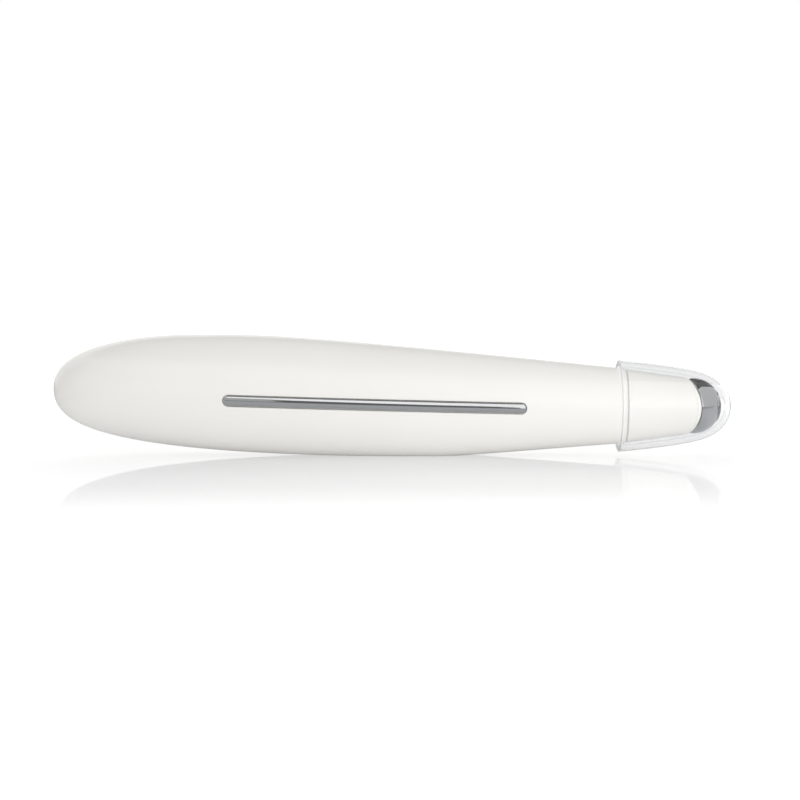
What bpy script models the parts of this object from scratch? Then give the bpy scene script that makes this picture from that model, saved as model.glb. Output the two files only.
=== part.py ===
"""Pen-shaped eye massager: a teardrop housing with a hand electrode strip, a vibrating chrome tip under a
clear cap, a power button and a battery bay.

Metres. +X runs from the tail to the tip and +Z is up. The strip faces -Y, and the button and the battery
cover face +Y. The origin lies under the middle of the length, on the surface that the belly rests on.
"""

import math

import bmesh
import bpy
import numpy as np

# Gaps between pieces that seat on each other, and how far a cutter passes its piece
CLEARANCE = 0.0003
OVERRUN = 0.001

# Housing: places are measured from the tail along X, heights from the surface it rests on
TAIL_ROOM = 0.0171
NOSE_HEIGHT = 0.0146
CREST_PLACE = 0.0283
CREST_HEIGHT = 0.0258
BELLY_PLACE = 0.0814
BELLY_FLAT_DEPTH = 0.0003
WIDEST_PLACE = 0.045
HALF_WIDTH = 0.0132
WALL = 0.0018
HEAD_AXIS_HEIGHT = 0.01055
SHOULDER_RADIUS = 0.00805
# Each outline's handles: at the nose, before its widest point, after it, at the shoulder, and the end slope
TOP_SHARES = (0.871, 0.249, 0.157, 0.853, 0.1045)
BELLY_SHARES = (0.452, 0.951, 0.148, 0.122, 0.047)
SIDE_SHARES = (0.6, 0.75, 0.3, 0.5, 0.09)

# Head: places are measured from the shoulder along the head's axis
NECK_STEP = 0.00015
NECK_LENGTH = 0.0143
NECK_TIP_RADIUS = 0.00605
SLEEVE_WALL = 0.00105
TONGUE = 0.00145
TONGUE_ROUND_SHARE = 0.65
SPIGOT_LENGTH = 0.009
TIP_STEP = 0.0001
TIP_BULGE = 0.00055
INSULATOR_DEPTH = 0.005
INSULATOR_WALL = 0.0008
TIP_WALL = 0.0009
RIB_FROM_SHOULDER = 0.0055
RIB_WIDTH = 0.0012
RIB_DEPTH = 0.0006
SEAL_FROM_SHOULDER = 0.0025
SEAL_GROOVE_DEPTH = 0.0009

# Cap
CAP_WALL = 0.0012
CAP_GAP = 0.0006
CAP_END_GAP = 0.001
CAP_OVERLAP = 0.0011
CAP_BEAD_WIDTH = 0.001
CAP_BEAD_HEIGHT = 0.00015
CAP_LIP_ROUND = 0.0003
CAP_SIDE_SHARES = (0.33, 0.09)
CAP_END_SHARES = (0.64, 0.19, 0.535)

# Motor in the neck
MOTOR_RADIUS = 0.0025
MOTOR_LENGTH = 0.012
MOTOR_NOSE_RADIUS = 0.0013
MOTOR_NOSE_LENGTH = 0.0008
MOTOR_CAP_LENGTH = 0.001
SHAFT_RADIUS = 0.0005
BOOT_WALL = 0.0008
BOOT_FLANGE = 0.0009
WEIGHT_LENGTH = 0.003
WEIGHT_RADIUS = 0.0023
WEIGHT_HUB_RADIUS = 0.0012
WEIGHT_GAP = 0.0005
LEAD_ROOM = 0.0026

# Strip in the right shell
STRIP_LENGTH = 0.06325
STRIP_FROM_SHOULDER = 0.0214
STRIP_WIDTH = 0.0024
STRIP_TAIL_DROP = 0.0006
STRIP_CROWN = 0.00045
STRIP_EDGE = 0.0001
STRIP_DEPTH = 0.0006
STUD_RADIUS = 0.0007
STUD_LENGTH = 0.0022
NUT_RADIUS = 0.0019
NUT_THICKNESS = 0.0008

# Battery bay
BATTERY_RADIUS = 0.00525
BATTERY_LENGTH = 0.0445
BATTERY_OFFSET = 0.0025
NUB_RADIUS = 0.0019
NUB_LENGTH = 0.0008
CONTACT_THICKNESS = 0.0004
CONTACT_WIDTH = 0.0076
SPRING_LENGTH = 0.004
SPRING_WIRE = 0.0003
SPRING_WIDE_RADIUS = 0.0033
SPRING_NARROW_RADIUS = 0.0021
SPRING_TURNS = 3
CRADLE_WALL = 0.0012
EAR_LENGTH = 0.0058
EAR_THICKNESS = 0.0016
EAR_WIDTH = 0.0078
EAR_OFFSET = -0.001
BAY_TO_BOARD = 0.0012
COVER_MARGIN = 0.0007
COVER_WIDTH = 0.0152
COVER_THICKNESS = 0.0009
LEDGE = 0.0012
SKIRT_WALL = 0.001
SKIRT_DEPTH = 0.0026
RIM_WALL = 0.001
PRESSER_THICKNESS = 0.0012
PRESSER_WIDTH = 0.004
NOTCH_RADIUS = 0.0022
NOTCH_DEPTH = 0.0006

# Circuit board and button
BOARD_LENGTH = 0.024
BOARD_WIDTH = 0.012
BOARD_THICKNESS = 0.001
BOARD_LEAD_ROOM = 0.004
BUTTON_LENGTH = 0.013
BUTTON_WIDTH = 0.0075
BUTTON_CROWN = 0.0005
BUTTON_TRAVEL = 0.0005
FLANGE_MARGIN = 0.0009
FLANGE_THICKNESS = 0.0008
STEM_RADIUS = 0.0014
STEM_LENGTH = 0.0012
DISH_MARGIN = 0.0024
DISH_EDGE = 0.00015
DISH_DEPTH = 0.0004
SWITCH_SIDE = 0.006
SWITCH_HEIGHT = 0.0034
PLUNGER_RADIUS = 0.0017
PLUNGER_HEIGHT = 0.0007
PLUNGER_SUNK = 0.0012
CHIP_SIZE = (0.005, 0.0015, 0.004)
CHIP_STANDOFF = 0.0033
CAPACITOR_RADIUS = 0.0018
CAPACITOR_HEIGHT = 0.0026
SMALL_ROUND = 0.0002

# Screws, posts and leads
SCREW_RADIUS = 0.0008
SCREW_LENGTH = 0.006
SCREW_HEAD_RADIUS = 0.0015
SCREW_HEAD_HEIGHT = 0.0011
SCREW_FROM_EDGE = 0.0026
POST_RADIUS = 0.0021
PEG_PLACE = 0.0085
PEG_RADIUS = 0.001
PEG_LENGTH = 0.0024
LEAD_RADIUS = 0.0003
LEAD_STEPS = 3

# Steps of the curved faces
SEGMENTS = 32
MIDDLE_SEGMENTS = 24
SMALL_SEGMENTS = 12
OUTLINE_STEPS = 200
BODY_STATIONS = 20
BODY_STEPS = 14
ROUND_STEPS = 4
DOME_STEPS = 8
CAP_SIDE_STEPS = 3
CAP_DOME_STEPS = 7
SEAL_SIDES = 6
COIL_STEPS = 8
SHARP_ANGLE = math.radians(35)
MERGE = 1e-6


# Shared modelling steps


def bezier(points, steps):
    """Points along one cubic stretch."""
    share = np.linspace(0, 1, steps + 1)[:, None]
    first, second, third, last = (np.array(point, float) for point in points)
    rest = 1 - share
    return rest**3 * first + 3 * rest**2 * share * second + 3 * rest * share**2 * third + share**3 * last


def moved(points, inset, inward):
    """An outline moved by inset along its normals: inward is -1 for one over the axis, 1 for one under it."""
    along, up = np.gradient(points[:, 0]), np.gradient(points[:, 1])
    normals = np.stack([-inward * up, inward * along], axis=1)
    return points + inset * normals / np.linalg.norm(normals, axis=1)[:, None]


def smooth(points):
    """Points on a smooth curve through a lead's own points."""
    points = np.array(points, float)
    ends = np.vstack([2 * points[0] - points[1], points, 2 * points[-1] - points[-2]])
    curve = []
    for before, here, there, after in zip(ends, ends[1:], ends[2:], ends[3:]):
        stretch = (here, here + (there - before) / 6, there - (after - here) / 6, there)
        curve.extend(bezier(stretch, LEAD_STEPS)[:-1])
    return curve + [points[-1]]


def material(name, colour, roughness, metallic=0.0, alpha=1.0):
    made = bpy.data.materials.new(name)
    made.use_nodes = True
    shader = made.node_tree.nodes["Principled BSDF"]
    shader.inputs["Base Color"].default_value = (*colour, 1.0)
    shader.inputs["Roughness"].default_value = roughness
    shader.inputs["Metallic"].default_value = metallic
    shader.inputs["Alpha"].default_value = alpha
    made.diffuse_color = (*colour, alpha)
    return made


def empty(name, place, parent=None):
    made = bpy.data.objects.new(name, None)
    bpy.context.scene.collection.objects.link(made)
    made.location = place
    made.parent = parent
    return made


def piece(name, mesh, finish, parent, origin=(0, 0, 0), turn=0.0):
    """One named solid from a bmesh that is drawn about its own origin."""
    data = bpy.data.meshes.new(name)
    bmesh.ops.recalc_face_normals(mesh, faces=mesh.faces)
    mesh.to_mesh(data)
    mesh.free()
    data.shade_smooth()
    data.set_sharp_from_angle(angle=SHARP_ANGLE)
    data.materials.append(finish)
    made = bpy.data.objects.new(name, data)
    bpy.context.scene.collection.objects.link(made)
    made.location = origin
    made.rotation_euler.z = turn
    made.parent = parent
    return made


def shape(target, operation, name, mesh, origin=(0, 0, 0), turn=0.0):
    """Cuts a guide's solid from a piece, or joins it on."""
    guide = piece(f"{target.name}_{name}", mesh, target.data.materials[0], target.parent, origin, turn)
    guide.hide_render = True
    guide.display_type = "WIRE"
    change = target.modifiers.new(name, "BOOLEAN")
    change.operation = operation
    change.object = guide


def cut(target, name, mesh, origin=(0, 0, 0), turn=0.0):
    shape(target, "DIFFERENCE", name, mesh, origin, turn)


def join(target, name, mesh, origin=(0, 0, 0), turn=0.0):
    shape(target, "UNION", name, mesh, origin, turn)


def lofted(loops, closed_ends):
    """Solid through loops of equal counts. A loop may shrink to an edge or a point."""
    mesh = bmesh.new()
    rows = [[mesh.verts.new(point) for point in loop] for loop in loops]
    for first, second in zip(rows, rows[1:]):
        for i in range(len(first)):
            mesh.faces.new((first[i - 1], first[i], second[i], second[i - 1]))
    for end in closed_ends:
        mesh.faces.new(rows[end])
    bmesh.ops.remove_doubles(mesh, verts=mesh.verts, dist=MERGE)
    return mesh


def turned(profile, segments=SEGMENTS, ring=False):
    """Solid turned about X from (place, radius) points. A ring's profile closes on itself."""
    mesh = bmesh.new()
    points = [mesh.verts.new((place, 0, radius)) for place, radius in profile]
    edges = [mesh.edges.new(pair) for pair in zip(points, points[1:])]
    if ring:
        edges.append(mesh.edges.new((points[-1], points[0])))
    bmesh.ops.spin(mesh, geom=points + edges, axis=(1, 0, 0), angle=math.tau, steps=segments)
    bmesh.ops.remove_doubles(mesh, verts=mesh.verts, dist=MERGE)
    return mesh


def tube(start, finish, radius, bore, segments=SMALL_SEGMENTS):
    corners = [(start, bore), (start, radius), (finish, radius), (finish, bore)]
    return turned(corners, segments, ring=True)


def rod(start, finish, radius, segments=SMALL_SEGMENTS):
    return turned([(start, 0), (start, radius), (finish, radius), (finish, 0)], segments)


def block(size, edge_round=0.0, centre=(0, 0, 0)):
    """Box with its long edges rounded where a round is given."""
    mesh = bmesh.new()
    bmesh.ops.create_cube(mesh, size=1.0)
    bmesh.ops.scale(mesh, vec=size, verts=mesh.verts)
    if edge_round:
        bmesh.ops.bevel(mesh, geom=mesh.edges, offset=edge_round, segments=1, affect="EDGES")
    bmesh.ops.translate(mesh, vec=centre, verts=mesh.verts)
    return mesh


def lead(name, points, finish, parent):
    """Insulated wire along a smooth curve."""
    data = bpy.data.curves.new(name, "CURVE")
    data.dimensions = "3D"
    data.bevel_depth = LEAD_RADIUS
    data.bevel_resolution = 1
    data.use_fill_caps = True
    spline = data.splines.new("POLY")
    curve = smooth(points)
    spline.points.add(len(curve) - 1)
    for point, place in zip(spline.points, curve):
        point.co = (*place, 1.0)
    data.materials.append(finish)
    made = bpy.data.objects.new(name, data)
    bpy.context.scene.collection.objects.link(made)
    made.parent = parent
    return made


def coil(name, length, start_radius, finish_radius, turns, finish, parent, origin):
    """Wire spring wound about X, from a wide end to a narrow one."""
    data = bpy.data.curves.new(name, "CURVE")
    data.dimensions = "3D"
    data.bevel_depth = SPRING_WIRE
    data.bevel_resolution = 1
    data.use_fill_caps = True
    spline = data.splines.new("POLY")
    steps = turns * COIL_STEPS
    spline.points.add(steps)
    for i, point in enumerate(spline.points):
        share = i / steps
        angle = math.tau * turns * share
        radius = start_radius + (finish_radius - start_radius) * share
        place = SPRING_WIRE + (length - 2 * SPRING_WIRE) * share
        point.co = (place, radius * math.cos(angle), radius * math.sin(angle), 1.0)
    data.materials.append(finish)
    made = bpy.data.objects.new(name, data)
    bpy.context.scene.collection.objects.link(made)
    made.location = origin
    made.parent = parent
    return made


# Lengths that add up to the body's: the head's pieces, the motor, the board and the bay


TIP_RADIUS = NECK_TIP_RADIUS - TIP_STEP
TIP_FACE = NECK_LENGTH + CLEARANCE
TIP_CENTRE = NECK_LENGTH + TIP_BULGE
TIP_END = TIP_CENTRE + TIP_RADIUS
CAP_END = TIP_END + CAP_END_GAP + CAP_WALL

SPIGOT_RADIUS = SHOULDER_RADIUS - WALL - CLEARANCE
NECK_RADIUS = SHOULDER_RADIUS - NECK_STEP
SEAL_GROOVE_RADIUS = SPIGOT_RADIUS - SEAL_GROOVE_DEPTH
SEAL_RADIUS = (SPIGOT_RADIUS - SEAL_GROOVE_RADIUS - CLEARANCE) / 2
BORE = MOTOR_RADIUS + BOOT_WALL + 2 * CLEARANCE
MOUTH_BORE = NECK_TIP_RADIUS - SLEEVE_WALL
INSULATOR_RADIUS = MOUTH_BORE - CLEARANCE
INSULATOR_BORE = INSULATOR_RADIUS - INSULATOR_WALL
INSULATOR_PLACE = NECK_LENGTH - INSULATOR_DEPTH
TIP_SPIGOT_RADIUS = INSULATOR_BORE - CLEARANCE
TIP_BORE = TIP_SPIGOT_RADIUS - TIP_WALL

WEIGHT_PLACE = INSULATOR_PLACE - LEAD_ROOM - WEIGHT_LENGTH
MOTOR_NOSE = WEIGHT_PLACE - WEIGHT_GAP
MOTOR_FACE = MOTOR_NOSE - MOTOR_NOSE_LENGTH
MOTOR_BACK = MOTOR_FACE - MOTOR_LENGTH
MOTOR_CAP_BACK = MOTOR_BACK - CLEARANCE - MOTOR_CAP_LENGTH
MOTOR_BORE = SHAFT_RADIUS + CLEARANCE

TROUGH_RADIUS = BATTERY_RADIUS + CLEARANCE
TROUGH_LENGTH = BATTERY_LENGTH + SPRING_LENGTH + 2 * CONTACT_THICKNESS + 5 * CLEARANCE
CRADLE_HALF_LENGTH = TROUGH_LENGTH / 2 + CRADLE_WALL + EAR_LENGTH
BAY_TO_SHOULDER = BAY_TO_BOARD + BOARD_LENGTH + BOARD_LEAD_ROOM - MOTOR_CAP_BACK
BODY_LENGTH = TAIL_ROOM + 2 * CRADLE_HALF_LENGTH + BAY_TO_SHOULDER
OVERALL_LENGTH = BODY_LENGTH + CAP_END


# The housing's form


def outline(nose, widest, shoulder, shares):
    """One outline of the body, from the nose over its widest point to the shoulder."""
    at_nose, before, after, at_shoulder, slope = shares
    place, reach = widest
    front = BODY_LENGTH - place
    back = [(0, nose), (0, nose + at_nose * (reach - nose)), (place * (1 - before), reach), widest]
    handle = at_shoulder * front
    rise = math.copysign(slope * handle, reach - shoulder)
    fore = [widest, (place + after * front, reach), (BODY_LENGTH - handle, shoulder + rise)]
    fore.append((BODY_LENGTH, shoulder))
    return np.vstack([bezier(back, OUTLINE_STEPS), bezier(fore, OUTLINE_STEPS)[1:]])


TOP = outline(NOSE_HEIGHT, (CREST_PLACE, CREST_HEIGHT), HEAD_AXIS_HEIGHT + SHOULDER_RADIUS, TOP_SHARES)
BELLY = outline(
    NOSE_HEIGHT, (BELLY_PLACE, -BELLY_FLAT_DEPTH), HEAD_AXIS_HEIGHT - SHOULDER_RADIUS, BELLY_SHARES
)
SIDE = outline(0, (WIDEST_PLACE, HALF_WIDTH), SHOULDER_RADIUS, SIDE_SHARES)


class Surface:
    """The body's surface, moved in by inset, or out where inset is negative."""

    def __init__(self, inset=0.0):
        self.nose = inset
        self.top = moved(TOP, inset, -1)
        self.belly = moved(BELLY, inset, 1)
        self.side = moved(SIDE, inset, -1)

    def section(self, place):
        """Middle height, half height and half width at a place."""
        top, belly, wide = (np.interp(place, *curve.T) for curve in (self.top, self.belly, self.side))
        return (top + belly) / 2, (top - belly) / 2, wide

    def half_ring(self, share, side):
        """Points from the belly round one side to the top. They are closer together towards the nose."""
        place = self.nose + (BODY_LENGTH - self.nose) * (1 - math.cos(share * math.pi / 2))
        middle, tall, wide = self.section(place)
        if share == 0:
            tall = wide = 0.0
        angles = np.linspace(-math.pi / 2, math.pi / 2, BODY_STEPS + 1)
        return [
            (place, side * max(wide * math.cos(angle), CLEARANCE / 2), middle + tall * math.sin(angle))
            for angle in angles
        ]

    def reach(self, place, height):
        """How far the surface lies from the seam at a place and height."""
        middle, tall, wide = self.section(place)
        share = (height - middle) / tall
        return wide * math.sqrt(max(0.0, 1.0 - share * share))


def half_shell(side):
    """Half of the housing, with its wall: side is -1 for the right half and 1 for the left one."""
    shares = np.linspace(0, 1, BODY_STATIONS + 1)
    loops = [SKIN.half_ring(share, side) + LINING.half_ring(share, side)[::-1] for share in shares]
    return lofted(loops, closed_ends=[-1])


def pad(start, finish, radius, side, outer, inner, across=6, along=8):
    """Round-ended plate on the body's side, between two depths.

    start and finish are the centres of its round ends, as (place, height). outer and inner give the
    distance from the seam at a place, a height and a share of the way from the centre line to the edge.
    """
    start, finish = np.array(start, float), np.array(finish, float)
    length = float(np.hypot(*(finish - start)))
    direction = (finish - start) / length
    sideways = np.array([-direction[1], direction[0]])
    rounds = [radius * math.cos(i / ROUND_STEPS * math.pi / 2) for i in range(ROUND_STEPS)]
    stations = [-back for back in rounds] + list(np.linspace(0, length, along + 1))
    stations += [length + ahead for ahead in reversed(rounds)]
    loops = []
    for station in stations:
        beyond = max(-station, station - length, 0.0)
        half = math.sqrt(max(0.0, radius**2 - beyond**2))
        points = []
        for share in np.linspace(-1, 1, across + 1):
            place, height = start + station * direction + share * half * sideways
            edge = min(1.0, math.hypot(beyond, share * half) / radius)
            points.append((place, height, edge))
        faces = [(outer, point) for point in points] + [(inner, point) for point in reversed(points)]
        loops.append([(point[0], side * depth(*point), point[1]) for depth, point in faces])
    return lofted(loops, closed_ends=[])


def level(surface, crown=0.0, extra=0.0):
    """Depth function that follows a surface, raised by extra and by a crown in the middle."""
    return lambda place, height, edge: surface.reach(place, height) + extra + crown * (1 - edge * edge)


def half_rib(side, place, width, inner_radius, outer_radius):
    """Half ring inside one shell, round the head's axis."""
    loops = []
    for angle in np.linspace(-math.pi / 2, math.pi / 2, BODY_STEPS + 1):
        corners = [(0, inner_radius), (width, inner_radius), (width, outer_radius), (0, outer_radius)]
        loops.append(
            [
                (
                    place + along,
                    side * max(radius * math.cos(angle), CLEARANCE / 2),
                    HEAD_AXIS_HEIGHT + radius * math.sin(angle),
                )
                for along, radius in corners
            ]
        )
    return lofted(loops, closed_ends=[0, -1])


def with_tongues(mesh, face, tip_radius=None, tip_centre=0.0):
    """Draws the end of a turned piece forwards at its two sides, along a round-ended curve.

    Points ahead of the face keep their share of the way to the dome's end, and stay on the dome.
    """
    for point in mesh.verts:
        radius = math.hypot(point.co.y, point.co.z)
        if point.co.x < face - MERGE or radius < MERGE:
            continue
        reach = TONGUE * (abs(point.co.y) / radius) ** TONGUE_ROUND_SHARE
        if tip_radius is None:
            point.co.x += reach
            continue
        end = tip_centre + tip_radius
        left = (end - point.co.x) / (end - face)
        point.co.x += reach * left
        if radius > TIP_SPIGOT_RADIUS + MERGE:
            across = math.sqrt(max(0.0, tip_radius**2 - (point.co.x - tip_centre) ** 2))
            point.co.y *= across / radius
            point.co.z *= across / radius
    return mesh


# Places and sizes that follow from the driving ones

SKIN = Surface()
LINING = Surface(WALL)
BOARD_FRONT = BODY_LENGTH + MOTOR_CAP_BACK - BOARD_LEAD_ROOM
BOARD_PLACE = BOARD_FRONT - BOARD_LENGTH / 2
BOARD_TAIL = BOARD_FRONT - BOARD_LENGTH
BOARD_HEIGHT = SKIN.section(BOARD_PLACE)[0]
BOARD_SCREW_PLACES = (BOARD_TAIL + SCREW_FROM_EDGE, BOARD_FRONT - SCREW_FROM_EDGE)

BUTTON_RADIUS = BUTTON_WIDTH / 2
BUTTON_HALF_RUN = (BUTTON_LENGTH - BUTTON_WIDTH) / 2
FLANGE_BACK = CLEARANCE + FLANGE_THICKNESS
STEM_START = LINING.reach(BOARD_PLACE, BOARD_HEIGHT) - FLANGE_BACK
PLUNGER_TOP = STEM_START - STEM_LENGTH
SWITCH_TOP = PLUNGER_TOP - PLUNGER_HEIGHT
SWITCH_FOOT = SWITCH_TOP - SWITCH_HEIGHT
BOARD_TOP = SWITCH_FOOT - CLEARANCE
BOARD_BACK = BOARD_TOP - BOARD_THICKNESS

BAY_PLACE = BOARD_TAIL - BAY_TO_BOARD - CRADLE_HALF_LENGTH
BAY_HEIGHT = SKIN.section(BAY_PLACE)[0]
TROUGH_TAIL = BAY_PLACE - TROUGH_LENGTH / 2
TROUGH_FRONT = BAY_PLACE + TROUGH_LENGTH / 2
CRADLE_HALF_WIDTH = TROUGH_RADIUS + CRADLE_WALL
CRADLE_BACK = BATTERY_OFFSET - TROUGH_RADIUS - CRADLE_WALL
BATTERY_TAIL = TROUGH_TAIL + CONTACT_THICKNESS + SPRING_LENGTH + 3 * CLEARANCE
EAR_TOP = EAR_OFFSET + EAR_THICKNESS
LEAD_SLOT = LEAD_RADIUS + CLEARANCE
LEAD_SIDE = CONTACT_WIDTH / 2 - LEAD_SLOT
EAR_SCREW_PLACES = (
    TROUGH_TAIL - CRADLE_WALL - EAR_LENGTH / 2,
    TROUGH_FRONT + CRADLE_WALL + EAR_LENGTH / 2,
)
COVER_HALF_RUN = CRADLE_HALF_LENGTH + COVER_MARGIN - COVER_WIDTH / 2

STRIP_RADIUS = STRIP_WIDTH / 2
STRIP_FRONT_CENTRE = BODY_LENGTH - STRIP_FROM_SHOULDER - STRIP_RADIUS
STRIP_TAIL_CENTRE = STRIP_FRONT_CENTRE - STRIP_LENGTH + STRIP_WIDTH
STRIP_TAIL = (STRIP_TAIL_CENTRE, SKIN.section(STRIP_TAIL_CENTRE)[0] - STRIP_TAIL_DROP)
STRIP_FRONT = (STRIP_FRONT_CENTRE, SKIN.section(STRIP_FRONT_CENTRE)[0])
STUD_PLACES = (BAY_PLACE, BOARD_PLACE - PLUNGER_RADIUS)

for leftover in list(bpy.data.objects):
    bpy.data.objects.remove(leftover, do_unlink=True)

WHITE = material("pearl_white_plastic", (0.86, 0.86, 0.85), 0.22)
GREY = material("grey_plastic", (0.35, 0.36, 0.38), 0.5)
CLEAR = material("clear_plastic", (0.95, 0.96, 0.97), 0.04, alpha=0.3)
CHROME = material("chrome", (0.78, 0.79, 0.8), 0.08, 1.0)
STEEL = material("nickel_steel", (0.6, 0.6, 0.58), 0.3, 1.0)
BLACK = material("black_rubber", (0.03, 0.03, 0.03), 0.7)
GREEN = material("board_green", (0.02, 0.16, 0.07), 0.45)
DARK = material("dark_resin", (0.05, 0.05, 0.055), 0.4)
ORANGE = material("cell_sleeve", (0.55, 0.2, 0.05), 0.35)
RED_WIRE = material("red_insulation", (0.5, 0.02, 0.02), 0.45)
BLACK_WIRE = material("black_insulation", (0.02, 0.02, 0.02), 0.45)

tail = empty("tail_datum", (-OVERALL_LENGTH / 2, 0, 0))
head = empty("head_axis", (BODY_LENGTH, 0, HEAD_AXIS_HEIGHT), tail)
TO_Y = math.pi / 2


# Housing halves


def strip_height(place):
    share = (place - STRIP_TAIL[0]) / (STRIP_FRONT[0] - STRIP_TAIL[0])
    return STRIP_TAIL[1] + share * (STRIP_FRONT[1] - STRIP_TAIL[1])


def rest_cut(shell):
    """The belly's flat, which the pen lies on."""
    size = (BODY_LENGTH, 2 * HALF_WIDTH, OVERRUN)
    cut(shell, "rest_plane", block(size, centre=(BODY_LENGTH / 2, 0, -OVERRUN / 2)))


def post(shell, name, place, height, side, end, bore):
    """Round post from the wall towards the other half, with a bore for a screw or a peg."""
    wall = SKIN.reach(place, height) - WALL / 2
    join(shell, name, tube(end, wall, POST_RADIUS, bore), (place, 0, height), side * TO_Y)


def make_right_shell():
    shell = piece("right_shell", half_shell(-1), WHITE, tail)
    for i, place in enumerate(EAR_SCREW_PLACES):
        seat = CLEARANCE - EAR_OFFSET
        post(shell, f"cradle_post_{i}", place, BAY_HEIGHT, -1, seat, SCREW_RADIUS + CLEARANCE)
    for i, place in enumerate(BOARD_SCREW_PLACES):
        seat = CLEARANCE - BOARD_BACK
        post(shell, f"board_post_{i}", place, BOARD_HEIGHT, -1, seat, SCREW_RADIUS + CLEARANCE)
    peg_height = SKIN.section(PEG_PLACE)[0]
    wall = SKIN.reach(PEG_PLACE, peg_height) - WALL / 2
    peg = turned(
        [(-PEG_LENGTH, 0), (-PEG_LENGTH, PEG_RADIUS), (CLEARANCE / 2, PEG_RADIUS)]
        + [(CLEARANCE / 2, POST_RADIUS), (wall, POST_RADIUS), (wall, 0)],
        SMALL_SEGMENTS,
    )
    join(shell, "peg", peg, (PEG_PLACE, 0, peg_height), -TO_Y)
    join(shell, "rib", neck_rib(-1))
    groove = pad(
        STRIP_TAIL, STRIP_FRONT, STRIP_RADIUS + CLEARANCE, -1,
        level(SKIN, extra=OVERRUN), level(SKIN, extra=-STRIP_DEPTH - CLEARANCE), across=2, along=16,
    )
    cut(shell, "strip_groove", groove)
    for i, place in enumerate(STUD_PLACES):
        height = strip_height(place)
        hole = rod(0, SKIN.reach(place, height), STUD_RADIUS + CLEARANCE, SMALL_SEGMENTS)
        cut(shell, f"stud_hole_{i}", hole, (place, 0, height), -TO_Y)
    rest_cut(shell)
    return shell


def neck_rib(side):
    """Rib that catches the groove in the head's spigot."""
    place = BODY_LENGTH - RIB_FROM_SHOULDER - RIB_WIDTH / 2
    inner = SPIGOT_RADIUS - RIB_DEPTH + CLEARANCE
    return half_rib(side, place, RIB_WIDTH, inner, SHOULDER_RADIUS - WALL / 3)


def cover_pad(margin, outer, inner, across=6, along=10):
    start = (BAY_PLACE - COVER_HALF_RUN, BAY_HEIGHT)
    finish = (BAY_PLACE + COVER_HALF_RUN, BAY_HEIGHT)
    return pad(start, finish, COVER_WIDTH / 2 + margin, 1, outer, inner, across, along)


def button_pad(margin, outer, inner, across=6):
    start = (BOARD_PLACE - BUTTON_HALF_RUN, BOARD_HEIGHT)
    finish = (BOARD_PLACE + BUTTON_HALF_RUN, BOARD_HEIGHT)
    return pad(start, finish, BUTTON_RADIUS + margin, 1, outer, inner, across, 3)


def make_left_shell():
    shell = piece("left_shell", half_shell(1), WHITE, tail)
    peg_height = SKIN.section(PEG_PLACE)[0]
    post(shell, "socket", PEG_PLACE, peg_height, 1, CLEARANCE / 2, PEG_RADIUS + CLEARANCE)
    join(shell, "rib", neck_rib(1))
    rim = cover_pad(RIM_WALL - LEDGE, level(SKIN, extra=-WALL / 2), level(SKIN, extra=-SKIRT_DEPTH))
    join(shell, "bay_rim", rim)
    rebate = cover_pad(
        CLEARANCE, level(SKIN, extra=OVERRUN), level(SKIN, extra=-COVER_THICKNESS - CLEARANCE)
    )
    cut(shell, "cover_rebate", rebate)
    opening = cover_pad(
        CLEARANCE - LEDGE, level(SKIN, extra=OVERRUN), level(SKIN, extra=-SKIRT_DEPTH - OVERRUN)
    )
    cut(shell, "bay_opening", opening)
    dish = button_pad(
        DISH_MARGIN, level(SKIN, extra=OVERRUN), level(SKIN, crown=-DISH_DEPTH, extra=-DISH_EDGE), 8
    )
    cut(shell, "button_dish", dish)
    hole = button_pad(CLEARANCE, level(SKIN, extra=OVERRUN), level(SKIN, extra=-WALL - OVERRUN), 4)
    cut(shell, "button_hole", hole)
    rest_cut(shell)
    return shell


# Hand electrode: a pressed strip in its groove, with two studs that take push-on nuts


def make_strip():
    along = pad(
        STRIP_TAIL, STRIP_FRONT, STRIP_RADIUS, -1,
        level(SKIN, STRIP_CROWN, STRIP_EDGE), level(SKIN, extra=-STRIP_DEPTH), across=6, along=16,
    )
    strip = piece("hand_electrode_strip", along, CHROME, tail)
    for i, place in enumerate(STUD_PLACES):
        height = strip_height(place)
        face = SKIN.reach(place, height)
        inner_end = LINING.reach(place, height) - STUD_LENGTH
        join(strip, f"stud_{i}", rod(inner_end, face, STUD_RADIUS), (place, 0, height), -TO_Y)


def make_strip_nuts():
    for name, place in zip(("strip_nut_tail", "strip_nut_front"), STUD_PLACES):
        height = strip_height(place)
        seat = LINING.reach(place, height + NUT_RADIUS) - CLEARANCE
        ring = tube(seat - NUT_THICKNESS, seat, NUT_RADIUS, STUD_RADIUS + CLEARANCE)
        piece(name, ring, STEEL, tail, (place, 0, height), -TO_Y)


# Head: the neck's sleeve, the insulating cup, the domed tip and its spring


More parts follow.
